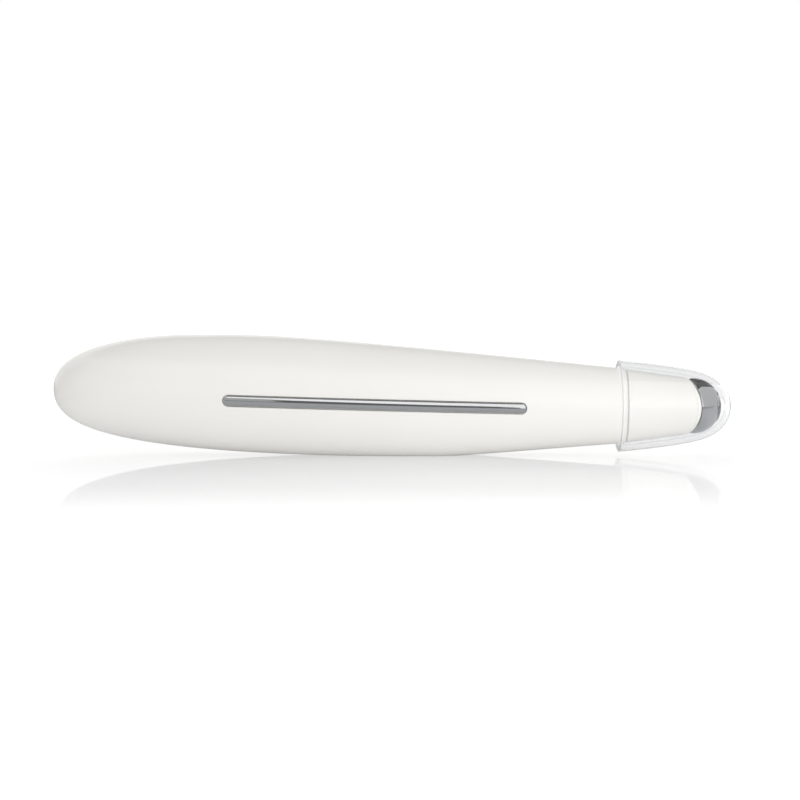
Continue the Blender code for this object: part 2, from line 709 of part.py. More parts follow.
def make_head_sleeve():
    rib_start = -RIB_FROM_SHOULDER - RIB_WIDTH / 2 - CLEARANCE
    rib_end = -RIB_FROM_SHOULDER + RIB_WIDTH / 2 + CLEARANCE
    groove = SPIGOT_RADIUS - RIB_DEPTH
    seal_start = -SEAL_FROM_SHOULDER - SEAL_RADIUS - CLEARANCE
    seal_end = -SEAL_FROM_SHOULDER + SEAL_RADIUS + CLEARANCE
    profile = [
        (-SPIGOT_LENGTH, BORE),
        (-SPIGOT_LENGTH, SPIGOT_RADIUS),
        (rib_start, SPIGOT_RADIUS),
        (rib_start, groove),
        (rib_end, groove),
        (rib_end, SPIGOT_RADIUS),
        (seal_start, SPIGOT_RADIUS),
        (seal_start, SEAL_GROOVE_RADIUS),
        (seal_end, SEAL_GROOVE_RADIUS),
        (seal_end, SPIGOT_RADIUS),
        (CLEARANCE, SPIGOT_RADIUS),
        (CLEARANCE, NECK_RADIUS),
        (NECK_LENGTH, NECK_TIP_RADIUS),
        (NECK_LENGTH, MOUTH_BORE),
        (INSULATOR_PLACE - CLEARANCE, MOUTH_BORE),
        (INSULATOR_PLACE - CLEARANCE, BORE),
    ]
    sleeve = with_tongues(turned(profile, ring=True), NECK_LENGTH)
    piece("head_sleeve", sleeve, WHITE, head)


def make_neck_seal():
    centre = SEAL_GROOVE_RADIUS + CLEARANCE + SEAL_RADIUS
    angles = [math.tau * i / SEAL_SIDES for i in range(SEAL_SIDES)]
    profile = [
        (SEAL_RADIUS * math.cos(angle) - SEAL_FROM_SHOULDER, centre + SEAL_RADIUS * math.sin(angle))
        for angle in angles
    ]
    piece("neck_seal", turned(profile, ring=True), BLACK, head)


def make_insulator():
    front = NECK_LENGTH - CLEARANCE
    floor = INSULATOR_PLACE + INSULATOR_WALL
    hole = 2 * LEAD_RADIUS + CLEARANCE
    profile = [
        (INSULATOR_PLACE, hole),
        (INSULATOR_PLACE, INSULATOR_RADIUS),
        (front, INSULATOR_RADIUS),
        (front, INSULATOR_BORE),
        (floor, INSULATOR_BORE),
        (floor, hole),
    ]
    piece("tip_insulator", turned(profile, SEGMENTS, ring=True), GREY, head)


def make_massage_tip():
    back = INSULATOR_PLACE + INSULATOR_WALL + CLEARANCE
    pocket_end = TIP_CENTRE
    profile = [(pocket_end, 0), (pocket_end, TIP_BORE), (back, TIP_BORE), (back, TIP_SPIGOT_RADIUS)]
    profile.append((TIP_FACE, TIP_SPIGOT_RADIUS))
    start = math.acos((TIP_FACE - TIP_CENTRE) / TIP_RADIUS)
    for i in range(DOME_STEPS + 1):
        angle = start * (1 - i / DOME_STEPS)
        profile.append((TIP_CENTRE + TIP_RADIUS * math.cos(angle), TIP_RADIUS * math.sin(angle)))
    dome = turned(profile)
    piece("massage_tip", with_tongues(dome, TIP_FACE, TIP_RADIUS, TIP_CENTRE), CHROME, head)


def make_tip_spring():
    start = INSULATOR_PLACE + INSULATOR_WALL + CLEARANCE
    length = TIP_CENTRE - CLEARANCE - start
    radius = TIP_BORE - CLEARANCE - SPRING_WIRE
    coil("tip_contact_spring", length, radius, radius, 4, STEEL, head, (start, 0, 0))


# Motor in the neck: a rubber boot, the can and its end, the shaft and the weight


def make_motor():
    boot_back = -SPIGOT_LENGTH - CLEARANCE
    boot_bore = MOTOR_RADIUS + CLEARANCE
    boot_radius = boot_bore + BOOT_WALL
    flange_radius = boot_radius + BOOT_WALL
    boot_profile = [
        (boot_back - BOOT_FLANGE, boot_bore),
        (boot_back - BOOT_FLANGE, flange_radius),
        (boot_back, flange_radius),
        (boot_back, boot_radius),
        (MOTOR_FACE, boot_radius),
        (MOTOR_FACE, boot_bore),
    ]
    boot = piece("motor_sleeve", turned(boot_profile, MIDDLE_SEGMENTS, ring=True), BLACK, head)
    slit = 2 * (LEAD_RADIUS + CLEARANCE)
    long = MOTOR_LENGTH + SPIGOT_LENGTH
    under = -MOTOR_RADIUS - flange_radius / 2
    cut(boot, "lead_slit", block((long, slit, flange_radius), centre=(0, 0, under)))

    can_profile = [
        (MOTOR_BACK, MOTOR_BORE),
        (MOTOR_BACK, MOTOR_RADIUS),
        (MOTOR_FACE, MOTOR_RADIUS),
        (MOTOR_FACE, MOTOR_NOSE_RADIUS),
        (MOTOR_NOSE, MOTOR_NOSE_RADIUS),
        (MOTOR_NOSE, MOTOR_BORE),
    ]
    piece("motor_can", turned(can_profile, MIDDLE_SEGMENTS, ring=True), STEEL, head)
    cap_start = MOTOR_BACK - CLEARANCE
    end_cap = tube(MOTOR_CAP_BACK, cap_start, MOTOR_RADIUS - CLEARANCE, MOTOR_BORE, MIDDLE_SEGMENTS)
    piece("motor_end_cap", end_cap, WHITE, head)

    weight_end = WEIGHT_PLACE + WEIGHT_LENGTH
    piece("motor_shaft", rod(MOTOR_CAP_BACK, weight_end, SHAFT_RADIUS), STEEL, head)
    disc = tube(WEIGHT_PLACE, weight_end, WEIGHT_RADIUS, MOTOR_BORE, MIDDLE_SEGMENTS)
    weight = piece("eccentric_weight", disc, STEEL, head)
    spare = (WEIGHT_LENGTH + 2 * OVERRUN, 2 * WEIGHT_RADIUS + OVERRUN, WEIGHT_RADIUS)
    middle = (WEIGHT_PLACE + WEIGHT_LENGTH / 2, 0, WEIGHT_HUB_RADIUS + WEIGHT_RADIUS / 2)
    cut(weight, "open_side", block(spare, centre=middle))


# Clear cap


def make_cap():
    rim = -CAP_OVERLAP
    rim_radius = SHOULDER_RADIUS + CAP_GAP + CAP_WALL
    neck_radius = NECK_TIP_RADIUS + CAP_GAP + CAP_WALL
    side_share, side_slope = CAP_SIDE_SHARES
    end_share, end_slope, round_share = CAP_END_SHARES
    run = NECK_LENGTH - rim
    end = CAP_END - NECK_LENGTH
    wall = [
        (rim, rim_radius),
        (rim + side_share * run, rim_radius - side_slope * side_share * run),
        (NECK_LENGTH - side_share * run, neck_radius + end_slope * side_share * run),
        (NECK_LENGTH, neck_radius),
    ]
    dome = [
        (NECK_LENGTH, neck_radius),
        (NECK_LENGTH + end_share * end, neck_radius - end_slope * end_share * end),
        (CAP_END, round_share * neck_radius),
        (CAP_END, 0),
    ]
    fine = np.vstack([bezier(wall, OUTLINE_STEPS), bezier(dome, OUTLINE_STEPS)[1:]])
    picks = [i * OUTLINE_STEPS // CAP_SIDE_STEPS for i in range(CAP_SIDE_STEPS)]
    picks += [OUTLINE_STEPS + i * OUTLINE_STEPS // CAP_DOME_STEPS for i in range(CAP_DOME_STEPS + 1)]
    outer = fine[picks]
    inner = moved(fine, CAP_WALL, -1)[picks]
    outer[0] = (rim, rim_radius - CAP_LIP_ROUND)
    inner[-1] = (CAP_END - CAP_WALL, 0)
    bead = inner[0][1] - CAP_BEAD_HEIGHT
    lip = [(rim + CAP_LIP_ROUND, rim_radius)]
    bead_line = [(rim + CAP_BEAD_WIDTH, inner[0][1]), (rim + CAP_BEAD_WIDTH, bead), (rim, bead)]
    profile = [tuple(p) for p in inner[:0:-1]] + bead_line + [tuple(outer[0])] + lip
    profile += [tuple(p) for p in outer[1:]]
    piece("protective_cap", turned(profile, SEGMENTS), CLEAR, head)


# Battery bay: the cradle, the cell, its contacts and the cover


def make_cradle():
    long = TROUGH_LENGTH + 2 * CRADLE_WALL
    deep = BATTERY_OFFSET - CRADLE_BACK
    body = block(
        (long, deep, 2 * CRADLE_HALF_WIDTH), centre=(0, CRADLE_BACK + deep / 2, 0)
    )
    origin = (BAY_PLACE, 0, BAY_HEIGHT)
    cradle = piece("battery_cradle", body, GREY, tail, origin)
    whole = block(
        (2 * CRADLE_HALF_LENGTH, EAR_THICKNESS, EAR_WIDTH), centre=(0, EAR_OFFSET + EAR_THICKNESS / 2, 0)
    )
    join(cradle, "ears", whole, origin)
    half = TROUGH_LENGTH / 2
    trough = rod(-half, half, TROUGH_RADIUS, SEGMENTS)
    cut(cradle, "trough", trough, (BAY_PLACE, BATTERY_OFFSET, BAY_HEIGHT))
    for i, place in enumerate(EAR_SCREW_PLACES):
        hole = rod(EAR_OFFSET - OVERRUN, EAR_TOP + OVERRUN, SCREW_RADIUS + CLEARANCE)
        cut(cradle, f"screw_hole_{i}", hole, (place, 0, BAY_HEIGHT), TO_Y)
    slot_size = (2 * CRADLE_HALF_LENGTH, 2 * LEAD_SLOT, 2 * LEAD_SLOT)
    slot = block(slot_size, centre=(0, BATTERY_OFFSET, -LEAD_SIDE))
    cut(cradle, "lead_slots", slot, origin)


def make_battery():
    body = BATTERY_LENGTH - NUB_LENGTH
    profile = [
        (0, 0),
        (0, BATTERY_RADIUS - SMALL_ROUND),
        (SMALL_ROUND, BATTERY_RADIUS),
        (body - SMALL_ROUND, BATTERY_RADIUS),
        (body, BATTERY_RADIUS - SMALL_ROUND),
        (body, NUB_RADIUS),
        (BATTERY_LENGTH, NUB_RADIUS),
        (BATTERY_LENGTH, 0),
    ]
    piece("battery", turned(profile, MIDDLE_SEGMENTS), ORANGE, tail, (BATTERY_TAIL, BATTERY_OFFSET, BAY_HEIGHT))


def make_contacts():
    size = (CONTACT_THICKNESS, CONTACT_WIDTH, CONTACT_WIDTH)
    ends = {
        "negative_contact_plate": TROUGH_TAIL + CLEARANCE + CONTACT_THICKNESS / 2,
        "positive_contact_plate": TROUGH_FRONT - CLEARANCE - CONTACT_THICKNESS / 2,
    }
    for name, place in ends.items():
        piece(name, block(size), STEEL, tail, (place, BATTERY_OFFSET, BAY_HEIGHT))
    start = TROUGH_TAIL + CONTACT_THICKNESS + 2 * CLEARANCE
    coil(
        "negative_contact_spring", SPRING_LENGTH, SPRING_WIDE_RADIUS, SPRING_NARROW_RADIUS, SPRING_TURNS,
        STEEL, tail, (start, BATTERY_OFFSET, BAY_HEIGHT),
    )


def make_battery_cover():
    plate = cover_pad(0, level(SKIN), level(SKIN, extra=-COVER_THICKNESS))
    bmesh.ops.translate(plate, vec=(-BAY_PLACE, 0, -BAY_HEIGHT), verts=plate.verts)
    cover = piece("battery_cover", plate, WHITE, tail, (BAY_PLACE, 0, BAY_HEIGHT))
    skirt = cover_pad(-LEDGE, level(SKIN, extra=-COVER_THICKNESS / 2), level(SKIN, extra=-SKIRT_DEPTH))
    join(cover, "skirt", skirt)
    hollow = cover_pad(
        -LEDGE - SKIRT_WALL,
        level(SKIN, extra=-COVER_THICKNESS - CLEARANCE),
        level(SKIN, extra=-SKIRT_DEPTH - OVERRUN),
    )
    cut(cover, "hollow", hollow)
    battery_top = BATTERY_OFFSET + BATTERY_RADIUS + CLEARANCE
    for i, share in enumerate((-1 / 4, 1 / 4)):
        place = BAY_PLACE + share * BATTERY_LENGTH
        under = SKIN.reach(place, BAY_HEIGHT) - COVER_THICKNESS / 2
        size = (PRESSER_THICKNESS, under - battery_top, PRESSER_WIDTH)
        presser = block(size, centre=(place, (under + battery_top) / 2, BAY_HEIGHT))
        join(cover, f"presser_{i}", presser)
    end = BAY_PLACE + COVER_HALF_RUN + COVER_WIDTH / 2
    depth = SKIN.reach(end, BAY_HEIGHT) - NOTCH_DEPTH
    notch = rod(depth, depth + OVERRUN + NOTCH_DEPTH, NOTCH_RADIUS)
    cut(cover, "thumb_notch", notch, (end, 0, BAY_HEIGHT), TO_Y)


# Circuit board, with the switch and what else it carries


def make_board():
    size = (BOARD_LENGTH, BOARD_THICKNESS, BOARD_WIDTH)
    centre = (BOARD_PLACE, (BOARD_TOP + BOARD_BACK) / 2, BOARD_HEIGHT)
    board = piece("circuit_board", block(size), GREEN, tail, centre)
    for i, place in enumerate(BOARD_SCREW_PLACES):
        hole = rod(BOARD_BACK - OVERRUN, BOARD_TOP + OVERRUN, SCREW_RADIUS + CLEARANCE)
        cut(board, f"screw_hole_{i}", hole, (place, 0, BOARD_HEIGHT), TO_Y)


def make_switch():
    size = (SWITCH_SIDE, SWITCH_HEIGHT, SWITCH_SIDE)
    centre = (BOARD_PLACE, SWITCH_FOOT + SWITCH_HEIGHT / 2, BOARD_HEIGHT)
    switch = piece("tact_switch", block(size, SMALL_ROUND), DARK, tail, centre)
    well_floor = SWITCH_TOP - PLUNGER_SUNK - BUTTON_TRAVEL - CLEARANCE
    well = rod(well_floor, SWITCH_TOP + OVERRUN, PLUNGER_RADIUS + CLEARANCE)
    cut(switch, "well", well, (BOARD_PLACE, 0, BOARD_HEIGHT), TO_Y)
    plunger = rod(SWITCH_TOP - PLUNGER_SUNK, PLUNGER_TOP - CLEARANCE, PLUNGER_RADIUS)
    piece("switch_plunger", plunger, WHITE, tail, (BOARD_PLACE, 0, BOARD_HEIGHT), TO_Y)


def make_board_parts():
    foot = BOARD_TOP + CLEARANCE
    chip_centre = (BOARD_PLACE - SWITCH_SIDE, foot + CHIP_SIZE[1] / 2, BOARD_HEIGHT + CHIP_STANDOFF)
    piece("control_chip", block(CHIP_SIZE, SMALL_ROUND), DARK, tail, chip_centre)
    can = rod(0, CAPACITOR_HEIGHT, CAPACITOR_RADIUS)
    place = BOARD_PLACE + SWITCH_SIDE
    piece("storage_capacitor", can, DARK, tail, (place, foot, BOARD_HEIGHT + CHIP_STANDOFF), TO_Y)


def make_button():
    origin = (BOARD_PLACE, 0, BOARD_HEIGHT)
    cap = button_pad(0, level(SKIN, BUTTON_CROWN, -DISH_EDGE), level(LINING, extra=-FLANGE_BACK + SMALL_ROUND))
    bmesh.ops.translate(cap, vec=(-origin[0], 0, -origin[2]), verts=cap.verts)
    button = piece("power_button", cap, WHITE, tail, origin)
    flange = button_pad(FLANGE_MARGIN, level(LINING, extra=-CLEARANCE), level(LINING, extra=-FLANGE_BACK), 4)
    join(button, "flange", flange)
    stem = rod(PLUNGER_TOP, STEM_START + FLANGE_THICKNESS / 2, STEM_RADIUS)
    join(button, "stem", stem, origin, TO_Y)


# Screws and leads


def make_screws():
    profile = [
        (-SCREW_LENGTH, 0),
        (-SCREW_LENGTH, SCREW_RADIUS),
        (0, SCREW_RADIUS),
        (0, SCREW_HEAD_RADIUS),
        (SCREW_HEAD_HEIGHT / 2, SCREW_HEAD_RADIUS),
        (SCREW_HEAD_HEIGHT, SCREW_RADIUS),
        (SCREW_HEAD_HEIGHT, 0),
    ]
    places = {
        "cradle_screw_tail": (EAR_SCREW_PLACES[0], EAR_TOP, BAY_HEIGHT),
        "cradle_screw_front": (EAR_SCREW_PLACES[1], EAR_TOP, BAY_HEIGHT),
        "board_screw_tail": (BOARD_SCREW_PLACES[0], BOARD_TOP, BOARD_HEIGHT),
        "board_screw_front": (BOARD_SCREW_PLACES[1], BOARD_TOP, BOARD_HEIGHT),
    }
    for name, (place, seat, height) in places.items():
        origin = (place, seat + CLEARANCE, height)
        piece(name, turned(profile, SMALL_SEGMENTS), STEEL, tail, origin, TO_Y)


def make_leads():
    under = BAY_HEIGHT - CRADLE_HALF_WIDTH - LEAD_RADIUS - 2 * CLEARANCE
    slot_height = BAY_HEIGHT - LEAD_SIDE
    tail_wall = TROUGH_TAIL - CRADLE_WALL
    front_wall = TROUGH_FRONT + CRADLE_WALL
    corner = BOARD_HEIGHT - BOARD_WIDTH / 2 + SCREW_RADIUS
    solder = BOARD_BACK - LEAD_RADIUS - CLEARANCE
    minus = [
        (TROUGH_TAIL, BATTERY_OFFSET, slot_height),
        (tail_wall - SCREW_RADIUS, BATTERY_OFFSET, slot_height - LEAD_RADIUS),
        (tail_wall - SCREW_RADIUS, BATTERY_OFFSET / 2, (slot_height + under) / 2),
        (tail_wall + CRADLE_WALL, 0, under),
        (BAY_PLACE, 0, under),
        (front_wall, 0, under),
        (BOARD_TAIL + SCREW_RADIUS, solder, corner),
    ]
    lead("battery_lead_minus", minus, BLACK_WIRE, tail)
    beside_ear = BAY_HEIGHT - EAR_WIDTH / 2 - LEAD_RADIUS - 2 * CLEARANCE
    plus = [
        (TROUGH_FRONT, BATTERY_OFFSET, slot_height),
        (front_wall + SCREW_RADIUS, BATTERY_OFFSET, slot_height),
        ((front_wall + BOARD_TAIL) / 2, (BATTERY_OFFSET + solder) / 2, beside_ear),
        (BOARD_TAIL - SCREW_RADIUS, solder, beside_ear),
        (BOARD_TAIL + SCREW_FROM_EDGE, solder, beside_ear),
    ]
    lead("battery_lead_plus", plus, RED_WIRE, tail)
    front_stud = strip_height(STUD_PLACES[1])
    stud_end = LINING.reach(STUD_PLACES[1], front_stud) - STUD_LENGTH - CLEARANCE - LEAD_RADIUS
    strip = [
        (STUD_PLACES[1], -stud_end, front_stud),
        (BOARD_PLACE, -stud_end, BOARD_HEIGHT + SCREW_RADIUS),
        (BOARD_PLACE + SCREW_FROM_EDGE, -stud_end / 2, BOARD_HEIGHT + SCREW_RADIUS),
        (BOARD_PLACE + SCREW_FROM_EDGE, solder, BOARD_HEIGHT + SCREW_RADIUS),
    ]
    lead("strip_lead", strip, BLACK_WIRE, tail)
    motor_end = BODY_LENGTH + MOTOR_CAP_BACK - CLEARANCE - LEAD_RADIUS
    half = (motor_end + BOARD_FRONT) / 2
    for name, side, finish in (("motor_lead_plus", 1, RED_WIRE), ("motor_lead_minus", -1, BLACK_WIRE)):
        terminal = HEAD_AXIS_HEIGHT + side * (MOTOR_BORE + 2 * LEAD_RADIUS)
        pin = BOARD_HEIGHT + side * BOARD_WIDTH / 4
        points = [
            (motor_end, 0, terminal),
            (half, solder / 2, (terminal + pin) / 2),
            (BOARD_FRONT - SCREW_RADIUS, solder, pin),
        ]
        lead(name, points, finish, tail)
    channel = HEAD_AXIS_HEIGHT - (MOTOR_RADIUS + BORE) / 2
    chamber = BODY_LENGTH + INSULATOR_PLACE
    tip = [
        (BOARD_FRONT - SCREW_FROM_EDGE, solder, BOARD_HEIGHT - BOARD_WIDTH / 3),
        (half, solder / 2, channel),
        (BODY_LENGTH + MOTOR_CAP_BACK, 0, channel),
        (BODY_LENGTH + MOTOR_FACE, 0, channel),
        (chamber - LEAD_ROOM, 0, channel),
        (chamber - LEAD_ROOM / 2, 0, (channel + HEAD_AXIS_HEIGHT) / 2),
        (chamber - LEAD_RADIUS, 0, HEAD_AXIS_HEIGHT),
        (chamber + INSULATOR_WALL, 0, HEAD_AXIS_HEIGHT),
    ]
    lead("tip_lead", tip, RED_WIRE, tail)


make_right_shell()
make_left_shell()
make_strip()
make_strip_nuts()
make_head_sleeve()
make_neck_seal()
make_insulator()
make_massage_tip()
make_tip_spring()
make_motor()
make_cap()
make_cradle()
make_battery()
make_contacts()
make_battery_cover()
make_board()
make_switch()
make_board_parts()
make_button()
make_screws()
make_leads()
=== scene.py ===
"""Pen-shaped eye massager lying on a glossy white table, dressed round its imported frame. Metres, +Z up."""

import math

import bmesh
import bpy
import numpy as np
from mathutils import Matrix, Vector


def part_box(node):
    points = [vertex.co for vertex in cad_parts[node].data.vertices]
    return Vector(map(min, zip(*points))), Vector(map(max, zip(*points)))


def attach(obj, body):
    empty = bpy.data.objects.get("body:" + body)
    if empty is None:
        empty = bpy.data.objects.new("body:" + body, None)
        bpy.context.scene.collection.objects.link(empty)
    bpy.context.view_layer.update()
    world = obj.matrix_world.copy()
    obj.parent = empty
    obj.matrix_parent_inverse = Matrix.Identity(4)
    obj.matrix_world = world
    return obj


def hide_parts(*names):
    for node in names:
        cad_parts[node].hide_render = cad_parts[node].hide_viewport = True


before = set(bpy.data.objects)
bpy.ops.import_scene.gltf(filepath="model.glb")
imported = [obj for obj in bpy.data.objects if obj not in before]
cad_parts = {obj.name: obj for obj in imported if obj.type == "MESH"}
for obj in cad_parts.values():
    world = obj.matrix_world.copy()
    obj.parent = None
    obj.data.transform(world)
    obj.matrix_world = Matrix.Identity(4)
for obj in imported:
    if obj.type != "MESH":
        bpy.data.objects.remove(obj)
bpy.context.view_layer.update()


# Camera: a long lens at arm's length, a little above the table, square to the side with the strip.
# It has no shift and no depth of field.
PHOTO_PIXELS = 800
FOCAL_PIXELS = 1930
SENSOR_WIDTH = 36.0
CAMERA_DISTANCE = 0.414
CAMERA_ELEVATION = math.radians(5)
CAMERA_TARGET = (0.00165, 0.0, 0.0118)

camera_data = bpy.data.cameras.new("camera")
camera_data.sensor_width = SENSOR_WIDTH
camera_data.lens = SENSOR_WIDTH * FOCAL_PIXELS / PHOTO_PIXELS
camera_data.clip_start = 0.01
camera = bpy.data.objects.new("camera", camera_data)
bpy.context.scene.collection.objects.link(camera)
camera.location = (
    CAMERA_TARGET[0],
    CAMERA_TARGET[1] - CAMERA_DISTANCE * math.cos(CAMERA_ELEVATION),
    CAMERA_TARGET[2] + CAMERA_DISTANCE * math.sin(CAMERA_ELEVATION),
)
camera.rotation_euler = (math.pi / 2 - CAMERA_ELEVATION, 0, 0)
bpy.context.scene.camera = camera


# Housing: two injection-moulded halves of pearl-lacquered ABS, welded along the seam that runs over the top
# and under the belly. The wall is 1.8 mm, and the edges at the seam and at the shoulder are eased.
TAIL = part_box("right_shell")[0].x
BODY_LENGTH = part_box("right_shell")[1].x - TAIL
NOSE_HEIGHT = 0.0146
CREST = (0.0283, 0.0258)
BELLY = (0.0814, -0.0003)
WIDEST = (0.045, 0.0132)
HEAD_AXIS_HEIGHT = 0.01055
SHOULDER_RADIUS = 0.00805
TOP_SHARES = (0.871, 0.249, 0.157, 0.853, 0.1045)
BELLY_SHARES = (0.452, 0.951, 0.148, 0.122, 0.047)
SIDE_SHARES = (0.6, 0.75, 0.3, 0.5, 0.09)
WALL = 0.0018
SEAM_GAP = 0.00004
SEAM_ROUND = 0.00018
OUTLINE_STEPS = 2000
BODY_STATIONS = 150
BODY_STEPS = 64
ROUND_STEPS = 5
MERGE = 1e-7
SHARP = math.radians(40)


class Socket:
    """A shader socket that takes part in sums, so that a pattern reads as an expression."""

    def __init__(self, nodes, link):
        self.nodes = nodes
        self.link = link

    def maths(self, operation, other, swap=False):
        pair = (other, self) if swap else (self, other)
        return self.nodes.add("ShaderNodeMath", {"operation": operation}, pair)

    def __add__(self, other):
        return self.maths("ADD", other)

    def __sub__(self, other):
        return self.maths("SUBTRACT", other)

    def __rsub__(self, other):
        return self.maths("SUBTRACT", other, swap=True)

    def __mul__(self, other):
        return self.maths("MULTIPLY", other)

    def __truediv__(self, other):
        return self.maths("DIVIDE", other)

    __radd__ = __add__
    __rmul__ = __mul__

    def above(self, other):
        return self.maths("GREATER_THAN", other)

    def absolute(self):
        return self.maths("ABSOLUTE", 0.0)

    def power(self, other):
        return self.maths("POWER", other)


class Finish:
    """A material under construction, with one Principled shader."""

    def __init__(self, name, colour, roughness, metallic=0.0, **settings):
        self.material = bpy.data.materials.new(name)
        self.material.use_nodes = True
        self.tree = self.material.node_tree
        self.shader = self.tree.nodes["Principled BSDF"]
        self.set("Base Color", (*colour, 1.0))
        self.set("Roughness", roughness)
        self.set("Metallic", metallic)
        for label, value in settings.items():
            self.set(label.replace("_", " "), value)

    def set(self, label, value):
        """Gives a shader input a value, or a link where the value is a socket."""
        if isinstance(value, Socket):
            self.tree.links.new(value.link, self.shader.inputs[label])
        else:
            self.shader.inputs[label].default_value = value

    def add(self, kind, settings, inputs, output=0):
        """One node of any type. Its settings come first, and None leaves an input as it is."""
        node = self.tree.nodes.new(kind)
        for label, value in settings.items():
            if label == "stops":
                self.ramp(node.color_ramp, value)
            else:
                setattr(node, label, value)
        pairs = inputs.items() if isinstance(inputs, dict) else enumerate(inputs)
        for label, value in pairs:
            if isinstance(value, Socket):
                self.tree.links.new(value.link, node.inputs[label])
            elif value is not None:
                node.inputs[label].default_value = value
        return Socket(self, node.outputs[output])

    @staticmethod
    def ramp(ramp, stops):
        for element, (place, colour) in zip(ramp.elements, stops):
            element.position = place
            element.color = colour
        for place, colour in stops[2:]:
            ramp.elements.new(place).color = colour

    def place(self):
        """The point on the piece, in metres."""
        return self.add("ShaderNodeTexCoord", {}, [], output="Object")

    def along(self, axis):
        """One coordinate of that point: 0, 1 and 2 are X, Y and Z."""
        return self.add("ShaderNodeSeparateXYZ", {}, [self.place()], output=axis)

    def noise(self, scale, detail=2.0, stretch=None):
        """Grey noise of about 1/scale metres."""
        vector = self.place()
        if stretch:
            vector = self.add("ShaderNodeVectorMath", {"operation": "MULTIPLY"}, [vector, stretch])
        inputs = {"Vector": vector, "Scale": scale, "Detail": detail}
        return self.add("ShaderNodeTexNoise", {}, inputs, output=0)

    def blend(self, share, first, second):
        """Colour between two others, each a colour or a socket."""
        pair = [end if isinstance(end, Socket) else (*end, 1.0) for end in (first, second)]
        inputs = {"Factor": share, 6: pair[0], 7: pair[1]}
        return self.add("ShaderNodeMix", {"data_type": "RGBA"}, inputs, output=2)

    def bump(self, height, distance, strength=1.0):
        inputs = {"Height": height, "Distance": distance, "Strength": strength}
        self.set("Normal", self.add("ShaderNodeBump", {}, inputs))


def bezier(points, steps):
    """Points along one cubic stretch."""
    share = np.linspace(0, 1, steps + 1)[:, None]
    first, second, third, last = (np.array(point, float) for point in points)
    rest = 1 - share
    return rest**3 * first + 3 * rest**2 * share * second + 3 * rest * share**2 * third + share**3 * last


def moved(points, inset, inward):
    """An outline moved by inset along its normals: inward is -1 for one over the axis, 1 for one under it."""
    along, up = np.gradient(points[:, 0]), np.gradient(points[:, 1])
    normals = np.stack([-inward * up, inward * along], axis=1)
    return points + inset * normals / np.linalg.norm(normals, axis=1)[:, None]


def outline(nose, widest, shoulder, shares):
    """One outline of the body, from the nose over its widest point to the shoulder."""
    at_nose, before, after, at_shoulder, slope = shares
    place, reach = widest
    front = BODY_LENGTH - place
    back = [(0, nose), (0, nose + at_nose * (reach - nose)), (place * (1 - before), reach), widest]
    handle = at_shoulder * front
    rise = math.copysign(slope * handle, reach - shoulder)
    fore = [widest, (place + after * front, reach), (BODY_LENGTH - handle, shoulder + rise)]
    fore.append((BODY_LENGTH, shoulder))
    return np.vstack([bezier(back, OUTLINE_STEPS), bezier(fore, OUTLINE_STEPS)[1:]])


TOP_LINE = outline(NOSE_HEIGHT, CREST, HEAD_AXIS_HEIGHT + SHOULDER_RADIUS, TOP_SHARES)
BELLY_LINE = outline(NOSE_HEIGHT, BELLY, HEAD_AXIS_HEIGHT - SHOULDER_RADIUS, BELLY_SHARES)
SIDE_LINE = outline(0, WIDEST, SHOULDER_RADIUS, SIDE_SHARES)


class Surface:
    """The body's surface, moved in by inset, or out where inset is negative. Places are from the tail."""

    def __init__(self, inset=0.0):
        self.nose = inset
        self.lines = (moved(TOP_LINE, inset, -1), moved(BELLY_LINE, inset, 1), moved(SIDE_LINE, inset, -1))

    def section(self, place):
        """Middle height, half height and half width at a place."""
        top, belly, wide = (np.interp(place, *line.T) for line in self.lines)
        return (top + belly) / 2, (top - belly) / 2, wide

    def reach(self, place, height):
        """How far the surface lies from the seam at places and heights."""
        middle, tall, wide = self.section(place)
        share = (height - middle) / tall
        return wide * np.sqrt(np.clip(1.0 - share * share, 0.0, 1.0))

    def half_ring(self, place, side, inset):
        """Points from the belly round one side to the top, with eased edges at the seam."""
        middle, tall, wide = self.section(place)
        tall = max(0.0, tall - inset)
        wide = max(0.0, wide - inset)
        gap = min(SEAM_GAP, wide / 2)
        ease = min(SEAM_ROUND, (wide - gap) / 2)
        widest = max(wide, MERGE)
        limit = math.acos(min(1.0, (gap + ease) / widest))
        points = []
        for i in range(ROUND_STEPS):
            turn = i / ROUND_STEPS * math.pi / 2
            drop = ease * (1 - math.sin(turn))
            points.append((gap + ease * (1 - math.cos(turn)), tall * math.sin(limit) - drop))
        under = [(side * y, middle - up) for y, up in points]
        over = [(side * y, middle + up) for y, up in reversed(points)]
        angles = np.linspace(-limit, limit, BODY_STEPS + 1)
        round_part = [(side * wide * math.cos(a), middle + tall * math.sin(a)) for a in angles]
        return [(TAIL + place, y, z) for y, z in under + round_part + over]


SKIN = Surface()
LINING = Surface(WALL)


def grid(loops, closed_ends=()):
    """Mesh through loops of equal counts."""
    mesh = bmesh.new()
    rows = [[mesh.verts.new(point) for point in loop] for loop in loops]
    for first, second in zip(rows, rows[1:]):
        for i in range(len(first)):
            mesh.faces.new((first[i - 1], first[i], second[i], second[i - 1]))
    for end in closed_ends:
        mesh.faces.new(rows[end])
    bmesh.ops.remove_doubles(mesh, verts=mesh.verts, dist=MERGE)
    return mesh


def finished(name, mesh, material, smooth=SHARP):
    """An object from a bmesh, with its faces pointing out and shaded smooth up to an angle."""
    data = bpy.data.meshes.new(name)
    bmesh.ops.dissolve_degenerate(mesh, edges=mesh.edges, dist=MERGE)
    bmesh.ops.recalc_face_normals(mesh, faces=mesh.faces)
    mesh.to_mesh(data)
    mesh.free()
    data.shade_smooth()
    data.set_sharp_from_angle(angle=smooth)
    data.materials.append(material)
    made = bpy.data.objects.new(name, data)
    bpy.context.scene.collection.objects.link(made)
    return made


